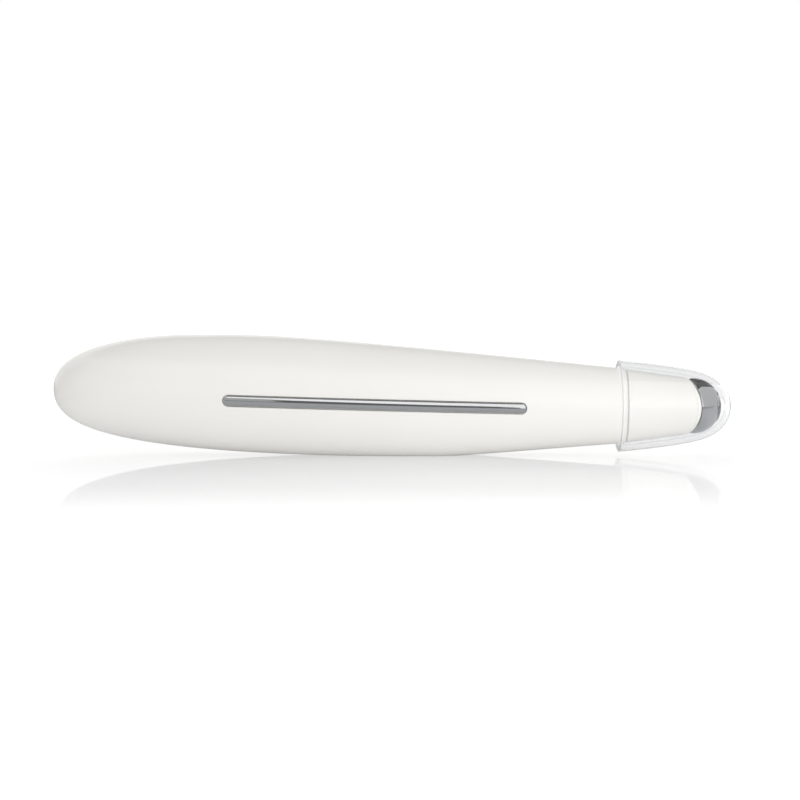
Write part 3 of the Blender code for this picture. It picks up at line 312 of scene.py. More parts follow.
def carve(target, cutters, operation="DIFFERENCE"):
    """Cuts closed meshes from a piece, or joins them on, and leaves a plain mesh."""
    for cutter in cutters:
        guide = finished("guide", cutter, target.data.materials[0])
        change = target.modifiers.new("change", "BOOLEAN")
        change.operation = operation
        change.object = guide
        depsgraph = bpy.context.evaluated_depsgraph_get()
        data = bpy.data.meshes.new_from_object(target.evaluated_get(depsgraph))
        target.modifiers.clear()
        bpy.data.objects.remove(guide)
        target.data = data
    target.data.shade_smooth()
    target.data.set_sharp_from_angle(angle=SHARP)


def flat_belly(mesh):
    """Presses the belly flat where it rests on the table."""
    for point in mesh.verts:
        point.co.z = max(point.co.z, 0.0)
    return mesh


def half_shell(side):
    """One half of the housing, with its wall."""
    shares = np.linspace(0, 1, BODY_STATIONS + 1)
    reach = 1 - np.cos(shares * math.pi / 2)
    outer_end = BODY_LENGTH - SEAM_ROUND
    loops = []
    for share in reach:
        outer = SKIN.half_ring(share * outer_end, side, 0.0)
        inner = LINING.half_ring(WALL + share * (BODY_LENGTH - WALL), side, 0.0)
        loops.append(outer + inner[::-1])
    for i in range(1, ROUND_STEPS + 1):
        turn = i / ROUND_STEPS * math.pi / 2
        ease = SEAM_ROUND * (1 - math.cos(turn))
        outer = SKIN.half_ring(outer_end + SEAM_ROUND * math.sin(turn), side, ease)
        loops.append(outer + loops[len(reach) - 1][len(outer):])
    mesh = grid(loops, closed_ends=[-1])
    return flat_belly(mesh)


def pearl(name):
    """Warm white lacquer with a fine pearl flake under a clear coat."""
    finish = Finish(name, (0.86, 0.845, 0.81), 0.32, Coat_Weight=0.35, Coat_Roughness=0.12, IOR=1.46)
    flake = finish.noise(9000, detail=1.0)
    cloud = finish.noise(60, detail=2.0)
    share = cloud * 0.7 + flake * 0.3
    finish.set("Base Color", finish.blend(share, (0.845, 0.83, 0.79), (0.885, 0.875, 0.85)))
    finish.set("Roughness", 0.27 + 0.12 * flake)
    finish.bump(flake, 0.000002, 0.25)
    return finish.material


PEARL = pearl("pearl_lacquer")
HEAD = TAIL + BODY_LENGTH


def level(surface, extra=0.0):
    """Depth that follows a surface of the body, raised by extra."""
    return lambda place, height: surface.reach(place, height) + extra


def plate(start, finish, side, layers, steps=20, along=60):
    """Round-ended body on the side of the pen, through rings of (radius, depth from the seam)."""
    start, finish = np.array(start, float), np.array(finish, float)
    run = finish - start
    length = math.hypot(*run)
    ahead = run / length
    across = np.array([-ahead[1], ahead[0]])
    angles = np.linspace(-math.pi / 2, math.pi / 2, steps + 1)
    front = [(length, angle) for angle in angles]
    top = [(length * (1 - i / along), math.pi / 2) for i in range(1, along)]
    back = [(0.0, math.pi + angle) for angle in angles]
    under = [(length * i / along, -math.pi / 2) for i in range(1, along)]
    ring = np.array(front + top + back + under)
    loops = []
    for radius, depth in layers:
        steps_ahead = ring[:, 0] + radius * np.cos(ring[:, 1])
        points = start + steps_ahead[:, None] * ahead + (radius * np.sin(ring[:, 1]))[:, None] * across
        depths = side * depth(points[:, 0], points[:, 1])
        loops.append([(TAIL + x, y, z) for (x, z), y in zip(points, depths)])
    return grid(loops)


def turned(profile, centre, axis="X", steps=96, ring=False):
    """Solid turned about an axis through the centre, from (place, radius) points."""
    if ring:
        profile = profile + profile[:1]
    loops = []
    for place, radius in profile:
        loop = []
        for i in range(steps):
            angle = math.tau * i / steps
            flat, up = radius * math.cos(angle), radius * math.sin(angle)
            x, y = (place, flat) if axis == "X" else (flat, place)
            loop.append((centre[0] + x, centre[1] + y, centre[2] + up))
        loops.append(loop)
    return grid(loops)


def rod(start, finish, radius, bore=0):
    """Profile of a plain rod, or of a tube where it has a bore."""
    return [(start, bore), (start, radius), (finish, radius), (finish, bore)]


def put(piece, nodes, body):
    """Lets a piece stand for its node, or several, on a body."""
    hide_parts(*([nodes] if isinstance(nodes, str) else nodes))
    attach(piece, body)
    return piece


def middle(node):
    low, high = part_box(node)
    return (low + high) / 2


def on_seam(node):
    """A node's middle, moved sideways to the seam."""
    return (middle(node).x, 0, middle(node).z)


# What sits in the shells and sets their openings: the strip in the right one, the cover and button in the left
STRIP_LOW, STRIP_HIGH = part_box("hand_electrode_strip")
STRIP_RADIUS = 0.0011
STRIP_DEPTH = 0.0006
STRIP_TAIL_DROP = 0.0006
STRIP_PLACES = (STRIP_LOW.x - TAIL + STRIP_RADIUS, STRIP_HIGH.x - TAIL - STRIP_RADIUS)
STRIP_START = (STRIP_PLACES[0], SKIN.section(STRIP_PLACES[0])[0] - STRIP_TAIL_DROP)
STRIP_FINISH = (STRIP_PLACES[1], SKIN.section(STRIP_PLACES[1])[0])
GROOVE_GAP = 0.00014
GROOVE_ROUND = 0.00012
COVER_LOW, COVER_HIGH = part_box("battery_cover")
COVER_RADIUS = (COVER_HIGH.z - COVER_LOW.z) / 2
COVER_START = (COVER_LOW.x - TAIL + COVER_RADIUS, (COVER_LOW.z + COVER_HIGH.z) / 2)
COVER_FINISH = (COVER_HIGH.x - TAIL - COVER_RADIUS, COVER_START[1])
COVER_THICKNESS = 0.0009
COVER_GAP = 0.00012
LEDGE = 0.0012
RIM_WALL = 0.001
SKIRT_DEPTH = 0.0026
BUTTON_PLACE = middle("tact_switch").x - TAIL
BUTTON_HEIGHT = middle("tact_switch").z
BUTTON_RADIUS = 0.00375
BUTTON_HALF_RUN = 0.00275
BUTTON_START = (BUTTON_PLACE - BUTTON_HALF_RUN, BUTTON_HEIGHT)
BUTTON_FINISH = (BUTTON_PLACE + BUTTON_HALF_RUN, BUTTON_HEIGHT)
BUTTON_GAP = 0.00012
DISH_MARGIN = 0.0024
DISH_EDGE = 0.00015
DISH_DEPTH = 0.0004
DISH_STEPS = 12
OVER = 0.001
STUD_RADIUS = 0.0007
STUD_HOLE = (-0.02, -0.005)
CRADLE_SEAT = -0.00105
BOARD_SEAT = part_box("circuit_board")[0].y - 0.00005
POST_RADIUS = 0.0021
SCREW_BORE = 0.00082
PEG_PLACE = 0.0085
PEG_RADIUS = 0.001
PEG_LENGTH = 0.0024
PEG_POINT = 0.0003
PEG_SHOULDER = 0.00015
PEG_GAP = 0.0001
RIB_PLACES = (-0.0061, -0.0049)
RIB_RADII = (0.00542, 0.00745)


def opening(start, finish, side, radius, floor, ease=0.0):
    """Cutter through the skin. Its rim flares out by ease, which leaves a soft edge."""
    layers = [(0, level(SKIN, floor)), (radius, level(SKIN, floor))]
    for share in np.linspace(0, 1, ROUND_STEPS):
        turn = share * math.pi / 2
        flare = ease * (1 - math.cos(turn))
        layers.append((radius + flare, level(SKIN, ease * (math.sin(turn) - 1))))
    layers += [(radius + ease + OVER * ease / GROOVE_ROUND, level(SKIN, OVER)), (0, level(SKIN, OVER))]
    return plate(start, finish, side, layers)


def post(shell, place, height, side, end, bore):
    """Joins a round post on, from inside the wall to the depth end, with a bore."""
    wall = side * float(SKIN.reach(place, height) - WALL / 2)
    profile = rod(end, wall, POST_RADIUS, bore)
    carve(shell, [turned(profile, (TAIL + place, 0, height), "Y", 40, ring=True)], "UNION")


def neck_rib(side):
    """Half ring that snaps into the groove of the neck's spigot."""
    corners = [(place, RIB_RADII[0]) for place in RIB_PLACES]
    corners += [(place, RIB_RADII[1]) for place in RIB_PLACES[::-1]]
    limit = math.pi / 2 - 2 * SEAM_GAP / RIB_RADII[0]
    loops = []
    for angle in np.linspace(-limit, limit, 49):
        across, up = side * math.cos(angle), math.sin(angle)
        loops.append([(HEAD + x, radius * across, HEAD_AXIS_HEIGHT + radius * up) for x, radius in corners])
    return grid(loops, closed_ends=[0, -1])


right_shell = finished("right_shell_moulding", half_shell(-1), PEARL)
groove = opening(STRIP_START, STRIP_FINISH, -1, STRIP_RADIUS + GROOVE_GAP, -STRIP_DEPTH, GROOVE_ROUND)
stud_holes = [
    turned(rod(*STUD_HOLE, STUD_RADIUS), on_seam(nut), "Y", 32) for nut in ("strip_nut_tail", "strip_nut_front")
]
carve(right_shell, [groove, *stud_holes])
for name, seat in (("cradle_screw", CRADLE_SEAT), ("board_screw", BOARD_SEAT)):
    for end in ("tail", "front"):
        screw = middle(f"{name}_{end}")
        post(right_shell, screw.x - TAIL, screw.z, -1, seat, SCREW_BORE)
peg_height = SKIN.section(PEG_PLACE)[0]
peg_wall = -float(SKIN.reach(PEG_PLACE, peg_height) - WALL / 2)
peg = [(PEG_LENGTH, 0), (PEG_LENGTH, PEG_RADIUS - PEG_POINT), (PEG_LENGTH - PEG_POINT, PEG_RADIUS)]
peg += [(-PEG_SHOULDER, PEG_RADIUS), (-PEG_SHOULDER, POST_RADIUS), (peg_wall, POST_RADIUS), (peg_wall, 0)]
carve(right_shell, [turned(peg, (TAIL + PEG_PLACE, 0, peg_height), "Y", 40), neck_rib(-1)], "UNION")
put(right_shell, "right_shell", "housing")

left_shell = finished("left_shell_moulding", half_shell(1), PEARL)
rim_profile = rod(-SKIRT_DEPTH, -WALL / 2, COVER_RADIUS + RIM_WALL - LEDGE)
cover_rim = [(radius, level(SKIN, up)) for up, radius in rim_profile]
carve(left_shell, [plate(COVER_START, COVER_FINISH, 1, cover_rim)], "UNION")
rebate = opening(COVER_START, COVER_FINISH, 1, COVER_RADIUS + COVER_GAP, -COVER_THICKNESS, GROOVE_ROUND)
bay = opening(COVER_START, COVER_FINISH, 1, COVER_RADIUS - LEDGE + COVER_GAP, -SKIRT_DEPTH - OVER)
dish_layers = [(0, level(SKIN, OVER)), (BUTTON_RADIUS + DISH_MARGIN, level(SKIN, OVER))]
for i in range(DISH_STEPS + 1):
    share = 1 - i / DISH_STEPS
    sunk = DISH_EDGE + DISH_DEPTH * (1 - share * share)
    dish_layers.append(((BUTTON_RADIUS + DISH_MARGIN) * share, level(SKIN, -sunk)))
dish = plate(BUTTON_START, BUTTON_FINISH, 1, dish_layers, along=12)
hole_profile = rod(OVER, -WALL - OVER, BUTTON_RADIUS + BUTTON_GAP)
hole_layers = [(radius, level(SKIN, up)) for up, radius in hole_profile]
hole = plate(BUTTON_START, BUTTON_FINISH, 1, hole_layers, along=12)
carve(left_shell, [rebate, bay, dish, hole])
post(left_shell, PEG_PLACE, peg_height, 1, PEG_SHOULDER, PEG_RADIUS + PEG_GAP)
carve(left_shell, [neck_rib(1)], "UNION")
put(left_shell, "left_shell", "housing")


# Hand electrode: a pressed strip of chromed brass, crowned along its length, with a rolled edge. It lies in
# its groove, and two riveted studs go through the wall to the nuts inside.
STRIP_CROWN = 0.0004
STRIP_EDGE = 0.00008
STRIP_ROUND = 0.00022
EDGE_STEPS = 6
CROWN_STEPS = 12
STUD_LENGTH = 0.0022
STUD_POINT = 0.0003
STUD_ROUND = 0.0001
STUD_GAP = 0.00004


def chrome(name):
    """Polished plating, with the faint unevenness of buffed metal."""
    finish = Finish(name, (0.8, 0.8, 0.81), 0.05, metallic=1.0)
    haze = finish.noise(700, detail=3.0)
    finish.set("Roughness", 0.035 + 0.05 * haze)
    finish.set("Base Color", finish.blend(haze, (0.76, 0.765, 0.78), (0.83, 0.83, 0.835)))
    finish.bump(finish.noise(240, detail=2.0), 0.000004, 0.3)
    return finish.material


CHROME = chrome("chrome_plating")
strip_layers = [(0, level(SKIN, -STRIP_DEPTH)), (STRIP_RADIUS, level(SKIN, -STRIP_DEPTH))]
for i in range(EDGE_STEPS + 1):
    turn = i / EDGE_STEPS * math.pi / 2
    radius = STRIP_RADIUS - STRIP_ROUND * (1 - math.cos(turn))
    crown = STRIP_CROWN * (1 - (radius / STRIP_RADIUS) ** 2)
    strip_layers.append((radius, level(SKIN, STRIP_EDGE - STRIP_ROUND * (1 - math.sin(turn)) + crown)))
for i in range(1, CROWN_STEPS + 1):
    radius = (STRIP_RADIUS - STRIP_ROUND) * (1 - i / CROWN_STEPS)
    crown = STRIP_CROWN * (1 - (radius / STRIP_RADIUS) ** 2)
    strip_layers.append((radius, level(SKIN, STRIP_EDGE + crown)))
strip = finished("chrome_strip", plate(STRIP_START, STRIP_FINISH, -1, strip_layers, along=160), CHROME)
studs = []
for nut in ("strip_nut_tail", "strip_nut_front"):
    x, z = middle(nut).x, middle(nut).z
    outer = -float(SKIN.reach(x - TAIL, z)) + STRIP_DEPTH / 2
    inner = STUD_LENGTH - float(LINING.reach(x - TAIL, z))
    stud = [(inner, 0), (inner, STUD_RADIUS - STUD_POINT), (inner - STUD_ROUND, STUD_RADIUS - STUD_ROUND)]
    stud += [(outer, STUD_RADIUS - STUD_GAP), (outer, 0)]
    studs.append(turned(stud, (x, 0, z), "Y", 32))
carve(strip, studs, "UNION")
put(strip, "hand_electrode_strip", "housing")


# Head sleeve: the neck, moulded in the same pearl plastic, with a spigot that snaps behind a rib in the shells.
# Its mouth runs forwards in two tongues, one on each side, with a fine line round it and a rounded edge.
NECK_STEP = 0.00015
NECK_LENGTH = 0.0137
NECK_STEPS = 24
NECK_TIP_RADIUS = 0.00605
NECK_RADIUS = SHOULDER_RADIUS - NECK_STEP
SPIGOT_LENGTH = 0.009
SPIGOT_RADIUS = 0.00595
SLEEVE_BORE = 0.0039
MOUTH_BORE = 0.005
MOUTH_DEPTH = 0.0047
MOUTH_ROUND = 0.00055
NECK_GAP = 0.0003
COLLAR_DEPTH = 0.0004
SEAL_GROOVE = (-0.0031, -0.0019, 0.00505)
RIB_GROOVE = (-0.0064, -0.0046, 0.00535)
MOUTH_LINE = 0.00014
TONGUE = 0.0022
TONGUE_ROUND_SHARE = 1.9
TONGUE_RUN = 0.004
HEAD_CENTRE = (HEAD, 0.0, HEAD_AXIS_HEIGHT)


def tongue_reach(point):
    """How far the mouth runs forwards at a point round the neck."""
    across, up = point.co.y, point.co.z - HEAD_AXIS_HEIGHT
    return TONGUE * (abs(across) / max(math.hypot(across, up), MERGE)) ** TONGUE_ROUND_SHARE


def arc(centre, radius, start, finish, steps=6):
    """Points on an arc between two angles in degrees."""
    angles = [math.radians(start + (finish - start) * i / steps) for i in range(steps + 1)]
    return [(centre[0] + radius * math.cos(a), centre[1] + radius * math.sin(a)) for a in angles]


def eased(start, finish, radius, ease):
    """Outside of a turned piece between two places, with a round at both ends."""
    return arc((start + ease, radius - ease), ease, 180, 90) + arc((finish - ease, radius - ease), ease, 90, 0)


def make_sleeve():
    slope = (NECK_RADIUS - NECK_TIP_RADIUS) / NECK_LENGTH
    collar = NECK_RADIUS - COLLAR_DEPTH
    outside = [(SEAM_GAP, SPIGOT_RADIUS), (SEAM_GAP, collar), (NECK_GAP, collar)]
    outside += arc((NECK_GAP + SEAM_ROUND, NECK_RADIUS - SEAM_ROUND), SEAM_ROUND, 180, 90)
    run = NECK_LENGTH - MOUTH_ROUND
    outside += [(run * i / NECK_STEPS, NECK_RADIUS - slope * run * i / NECK_STEPS) for i in range(1, NECK_STEPS)]
    end = NECK_RADIUS - slope * run
    line = run - MOUTH_LINE
    outside += [(line, end), (line, end - MOUTH_LINE), (run, end - MOUTH_LINE)]
    outside += arc((run, end - MOUTH_LINE / 2 - MOUTH_ROUND), MOUTH_ROUND, 86, 0)
    spigot = [(-SPIGOT_LENGTH, SLEEVE_BORE), (-SPIGOT_LENGTH, SPIGOT_RADIUS)]
    for start, finish, radius in (RIB_GROOVE, SEAL_GROOVE):
        spigot += [(start, SPIGOT_RADIUS), (start, radius), (finish, radius), (finish, SPIGOT_RADIUS)]
    inside = [
        (NECK_LENGTH, MOUTH_BORE),
        (NECK_LENGTH - MOUTH_DEPTH, MOUTH_BORE),
        (NECK_LENGTH - MOUTH_DEPTH, SLEEVE_BORE),
    ]
    mesh = turned(spigot + outside + inside, HEAD_CENTRE, steps=160, ring=True)
    for point in mesh.verts:
        share = (point.co.x - HEAD - NECK_LENGTH + TONGUE_RUN) / TONGUE_RUN
        if share > 0:
            point.co.x += tongue_reach(point) * share
    return mesh


sleeve = finished("neck_sleeve", make_sleeve(), PEARL)
put(sleeve, "head_sleeve", "housing")


# Massage tip: a brass dome, turned, polished and chromed, on a hollow spigot that presses into the cup.
TIP_RADIUS = 0.00595
TIP_CENTRE = 0.01485
TIP_FACE = NECK_LENGTH + 0.00008
TIP_BACK = 0.0104
TIP_SPIGOT_RADIUS = 0.0036
TIP_BORE = 0.0027
TIP_EDGE = 0.00012
DOME_STEPS = 40


def make_tip():
    start = math.degrees(math.acos((TIP_FACE + TIP_EDGE - TIP_CENTRE) / TIP_RADIUS))
    profile = [(TIP_CENTRE, 0), (TIP_CENTRE, TIP_BORE), (TIP_BACK, TIP_BORE), (TIP_BACK, TIP_SPIGOT_RADIUS)]
    profile += [(TIP_FACE, TIP_SPIGOT_RADIUS), (TIP_FACE, TIP_RADIUS - TIP_EDGE)]
    profile += arc((TIP_CENTRE, 0), TIP_RADIUS, start, 0, DOME_STEPS)
    mesh = turned(profile, HEAD_CENTRE, steps=160)
    end = TIP_CENTRE + TIP_RADIUS
    for point in mesh.verts:
        place = point.co.x - HEAD
        across, up = point.co.y, point.co.z - HEAD_AXIS_HEIGHT
        radius = math.hypot(across, up)
        if place < TIP_FACE - MERGE or radius < MERGE:
            continue
        place += tongue_reach(point) * (end - place) / (end - TIP_FACE)
        point.co.x = HEAD + place
        if radius > TIP_SPIGOT_RADIUS + MERGE:
            share = math.sqrt(max(0.0, TIP_RADIUS**2 - (place - TIP_CENTRE) ** 2)) / radius
            if radius < TIP_RADIUS - TIP_EDGE / 2 and place < TIP_CENTRE:
                share *= 1 - TIP_EDGE / TIP_RADIUS
            point.co.y = across * share
            point.co.z = HEAD_AXIS_HEIGHT + up * share
    return mesh


tip = finished("chrome_dome", make_tip(), CHROME)
put(tip, "massage_tip", "housing")


# Cap: a thin push-on cap of clear polystyrene. A bead inside its rim grips the shoulder, and its lip is rounded.
CAP_WALL = 0.0012
CAP_GAP = 0.0006
CAP_BEND = 0.0143
CAP_END = TIP_CENTRE + TIP_RADIUS + 0.001 + CAP_WALL
CAP_OVERLAP = 0.0011
CAP_BEAD_WIDTH = 0.001
CAP_BEAD_HEIGHT = 0.00015
CAP_LIP_ROUND = 0.0003
CAP_SIDE_SHARES = (0.33, 0.09)
CAP_END_SHARES = (0.64, 0.19, 0.535)
CAP_STEPS = 40


def clear_plastic(name):
    """Clear polystyrene, a little hazy from handling."""
    finish = Finish(name, (0.985, 0.99, 0.995), 0.02, Transmission_Weight=1.0, IOR=1.49)
    finish.set("Roughness", 0.012 + 0.03 * finish.noise(350, detail=2.0))
    return finish.material


def rubbed_plastic(name):
    """The same plastic where it is rubbed matt, at the rim."""
    finish = Finish(name, (0.93, 0.935, 0.94), 0.4, Transmission_Weight=0.35, IOR=1.49)
    rubbing = finish.noise(900, detail=3.0)
    finish.set("Base Color", finish.blend(rubbing, (0.88, 0.885, 0.89), (0.97, 0.975, 0.98)))
    finish.set("Roughness", 0.34 + 0.14 * rubbing)
    return finish.material


def make_cap():
    rim = -CAP_OVERLAP
    rim_radius = SHOULDER_RADIUS + CAP_GAP + CAP_WALL
    neck_radius = NECK_TIP_RADIUS + CAP_GAP + CAP_WALL
    side_share, side_slope = CAP_SIDE_SHARES
    end_share, end_slope, round_share = CAP_END_SHARES
    run = CAP_BEND - rim
    end = CAP_END - CAP_BEND
    wall = [
        (rim, rim_radius),
        (rim + side_share * run, rim_radius - side_slope * side_share * run),
        (CAP_BEND - side_share * run, neck_radius + end_slope * side_share * run),
        (CAP_BEND, neck_radius),
    ]
    dome = [
        (CAP_BEND, neck_radius),
        (CAP_BEND + end_share * end, neck_radius - end_slope * end_share * end),
        (CAP_END, round_share * neck_radius),
        (CAP_END, 0),
    ]
    fine = np.vstack([bezier(wall, OUTLINE_STEPS), bezier(dome, OUTLINE_STEPS)[1:]])
    picks = [i * len(fine) // (2 * CAP_STEPS) for i in range(2 * CAP_STEPS)] + [len(fine) - 1]
    outer = [tuple(p) for p in fine[picks]]
    inner = [tuple(p) for p in moved(fine, CAP_WALL, -1)[picks]]
    inner[-1] = (CAP_END - CAP_WALL, 0)
    bore = inner[0][1]
    bead = bore - CAP_BEAD_HEIGHT
    lip = CAP_LIP_ROUND
    inner = [p for p in inner if p[0] > rim + 2 * CAP_BEAD_WIDTH]
    outer = [p for p in outer if p[0] > rim + lip + MERGE]
    ring = [(rim + 1.5 * CAP_BEAD_WIDTH, inner[0][1] + CAP_BEAD_HEIGHT / 3), (rim + CAP_BEAD_WIDTH, bead)]
    ring += arc((rim + lip, bead + lip), lip, 270, 180) + arc((rim + lip, rim_radius - lip), lip, 180, 90)
    return turned(inner[::-1] + ring + outer, HEAD_CENTRE, steps=160)


CLEAR = clear_plastic("clear_polystyrene")
cap = finished("clear_cap", make_cap(), CLEAR)
cap.data.materials.append(rubbed_plastic("rubbed_rim"))
for face in cap.data.polygons:
    if face.center.x < HEAD - CAP_OVERLAP + CAP_LIP_ROUND:
        face.material_index = 1
cap.visible_diffuse = False
cap.visible_shadow = False
put(cap, "protective_cap", "cap")


# Battery cover: a long round-ended plate of the same pearl plastic, flush in its rebate on the far side. A skirt
# under it fits the opening, two ribs hold the cell down, and a thumb notch at its front end lifts it.
COVER_ROUND = 0.0002
SKIRT_WALL = 0.001
NOTCH_RADIUS = 0.0022
NOTCH_DEPTH = 0.0006
PRESSER_THICKNESS = 0.0012
PRESSER_WIDTH = 0.004
BATTERY_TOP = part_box("battery")[1].y


def block(low, high, edge=0.0):
    """Box between two corners, with its edges rounded."""
    mesh = bmesh.new()
    bmesh.ops.create_cube(mesh, size=1.0)
    low, high = Vector(low), Vector(high)
    bmesh.ops.scale(mesh, vec=high - low, verts=mesh.verts)
    bmesh.ops.translate(mesh, vec=(low + high) / 2, verts=mesh.verts)
    if edge:
        bmesh.ops.bevel(mesh, geom=mesh.edges, offset=edge, segments=3, affect="EDGES", profile=0.5)
    return mesh


cover_layers = [(0, level(SKIN, -COVER_THICKNESS)), (COVER_RADIUS, level(SKIN, -COVER_THICKNESS))]
for radius, up in arc((COVER_RADIUS - COVER_ROUND, -COVER_ROUND), COVER_ROUND, 0, 90):
    cover_layers.append((radius, level(SKIN, up)))
cover_layers += [(COVER_RADIUS * share, level(SKIN)) for share in np.linspace(0.96, 0, 24)]
cover = finished("cover_moulding", plate(COVER_START, COVER_FINISH, 1, cover_layers), PEARL)
skirt_layers = []
for inset, deep in ((LEDGE, COVER_THICKNESS / 2), (LEDGE, SKIRT_DEPTH), (LEDGE + SKIRT_WALL, SKIRT_DEPTH)):
    skirt_layers.append((COVER_RADIUS - inset, level(SKIN, -deep)))
skirt_layers.append((COVER_RADIUS - LEDGE - SKIRT_WALL, level(SKIN, -COVER_THICKNESS / 2)))
skirt = plate(COVER_START, COVER_FINISH, 1, skirt_layers + skirt_layers[:1])
ribs = []
for share in (-1 / 4, 1 / 4):
    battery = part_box("battery")
    place = (COVER_LOW.x + COVER_HIGH.x) / 2 + share * (battery[1].x - battery[0].x)
    top = SKIN.reach(place - TAIL, COVER_START[1]) - COVER_THICKNESS / 2
    corner = (place - PRESSER_THICKNESS / 2, BATTERY_TOP + BUTTON_GAP, COVER_START[1] - PRESSER_WIDTH / 2)
    ribs.append(block(corner, (corner[0] + PRESSER_THICKNESS, top, corner[2] + PRESSER_WIDTH)))
carve(cover, [skirt, *ribs], "UNION")
notch_end = COVER_HIGH.x
notch_floor = SKIN.reach(notch_end - TAIL, COVER_START[1]) - NOTCH_DEPTH
notch_profile = [(notch_floor, 0), (notch_floor, NOTCH_RADIUS * 0.7)]
notch_profile += [(notch_floor + NOTCH_DEPTH, NOTCH_RADIUS), (notch_floor + NOTCH_DEPTH + OVER, NOTCH_RADIUS)]
notch_profile.append((notch_floor + NOTCH_DEPTH + OVER, 0))
carve(cover, [turned(notch_profile, (notch_end, 0, COVER_START[1]), "Y", 48)])
put(cover, "battery_cover", "cover")


# Power button: an oval key of the same plastic in a shallow dish, crowned, with a flange behind the wall that
# keeps it in and a stem that bears on the switch.
BUTTON_CROWN = 0.0005
BUTTON_ROUND = 0.0003
FLANGE_MARGIN = 0.0009
FLANGE_THICKNESS = 0.0008
FLANGE_GAP = 0.0003
STEM_RADIUS = 0.0014
STEM_LENGTH = 0.0012

button_layers = [(0, level(LINING, -FLANGE_GAP - FLANGE_THICKNESS))]
for radius, deep in (
    (BUTTON_RADIUS + FLANGE_MARGIN, FLANGE_GAP + FLANGE_THICKNESS),
    (BUTTON_RADIUS + FLANGE_MARGIN, FLANGE_GAP),
    (BUTTON_RADIUS, FLANGE_GAP),
):
    button_layers.append((radius, level(LINING, -deep)))
for radius, up in arc((BUTTON_RADIUS - BUTTON_ROUND, -BUTTON_ROUND), BUTTON_ROUND, 0, 90):
    crown = BUTTON_CROWN * (1 - (radius / BUTTON_RADIUS) ** 2)
    button_layers.append((radius, level(SKIN, up - DISH_EDGE + crown)))
for share in np.linspace(0.88, 0, 14):
    crown = BUTTON_CROWN * (1 - share * share)
    button_layers.append((BUTTON_RADIUS * share, level(SKIN, crown - DISH_EDGE)))
button = finished("button_key", plate(BUTTON_START, BUTTON_FINISH, 1, button_layers, along=16), PEARL)
stem_top = float(LINING.reach(BUTTON_PLACE, BUTTON_HEIGHT)) - FLANGE_GAP - FLANGE_THICKNESS / 2
stem_end = stem_top - FLANGE_THICKNESS / 2 - STEM_LENGTH
stem_profile = [(stem_end, 0), (stem_end, STEM_RADIUS * 0.85), (stem_end + STEM_RADIUS * 0.15, STEM_RADIUS)]
stem_profile += [(stem_top, STEM_RADIUS), (stem_top, 0)]
carve(button, [turned(stem_profile, (TAIL + BUTTON_PLACE, 0, BUTTON_HEIGHT), "Y", 32)], "UNION")
put(button, "power_button", "button")


# Screws: four self-tapping screws of nickel-plated steel, with a cross recess and a rolled thread. Two hold the
# cradle and two the board to the posts in the right shell.
SCREW_RADIUS = 0.0008
SCREW_HEAD_RADIUS = 0.0015
SCREW_HEAD_HEIGHT = 0.0011
SCREW_LENGTH = 0.006
SCREW_POINT = 0.0012
SCREW_DOME = 0.6
THREAD_START, THREAD_END = 0.0003, 0.0016
THREAD_TURNS = 9
THREAD_WIRE = 0.00012
COIL_STEPS = 36
WIRE_SIDES = 10
RECESS_WIDTH = 0.00035
RECESS_REACH = 0.55
RECESS_DEPTH = 0.0005


def metal(name, colour, roughness):
    """Plated steel with fine drawn lines along X."""
    finish = Finish(name, colour, roughness, metallic=1.0)
    lines = finish.noise(4000, detail=2.0, stretch=(0.05, 1.0, 1.0))
    finish.set("Roughness", (roughness - 0.08) + 0.2 * lines)
    darker = tuple(0.82 * share for share in colour)
    finish.set("Base Color", finish.blend(lines, darker, colour))
    finish.bump(lines, 0.000004, 0.3)
    return finish.material


class Growth:
    """A Geometry Nodes tree with named inputs for its sizes. It ends as a plain mesh."""

    def __init__(self, name, sizes):
        self.sizes = sizes
        self.tree = bpy.data.node_groups.new(name, "GeometryNodeTree")
        face = self.tree.interface
        face.new_socket("Geometry", in_out="OUTPUT", socket_type="NodeSocketGeometry")
        face.new_socket("Geometry", in_out="INPUT", socket_type="NodeSocketGeometry")
        kinds = {int: "NodeSocketInt", float: "NodeSocketFloat", tuple: "NodeSocketVector"}
        for label, value in sizes.items():
            face.new_socket(label, in_out="INPUT", socket_type=kinds[type(value)])
        self.inputs = self.tree.nodes.new("NodeGroupInput").outputs

    def add(self, kind, inputs, **settings):
        """One node, with its inputs set or linked. Returns its first output."""
        node = self.tree.nodes.new(kind)
        for label, value in settings.items():
            setattr(node, label, value)
        for label, value in inputs.items():
            if isinstance(value, bpy.types.NodeSocket):
                self.tree.links.new(value, node.inputs[label])
            else:
                node.inputs[label].default_value = value
        return node.outputs[0]

    def mesh(self, shape, holder, material):
        """What the tree makes of a holder, which is removed."""
        whole = self.add("GeometryNodeRealizeInstances", {0: shape})
        paint = self.add("GeometryNodeSetMaterial", {"Geometry": whole, "Material": material})
        self.tree.links.new(paint, self.tree.nodes.new("NodeGroupOutput").inputs[0])
        modifier = holder.modifiers.new("growth", "NODES")
        modifier.node_group = self.tree
        for socket in self.tree.interface.items_tree:
            if socket.in_out == "INPUT" and socket.name in self.sizes:
                modifier[socket.identifier] = self.sizes[socket.name]
        data = bpy.data.meshes.new_from_object(holder.evaluated_get(bpy.context.evaluated_depsgraph_get()))
        bpy.data.objects.remove(holder)
        made = bmesh.new()
        made.from_mesh(data)
        return made


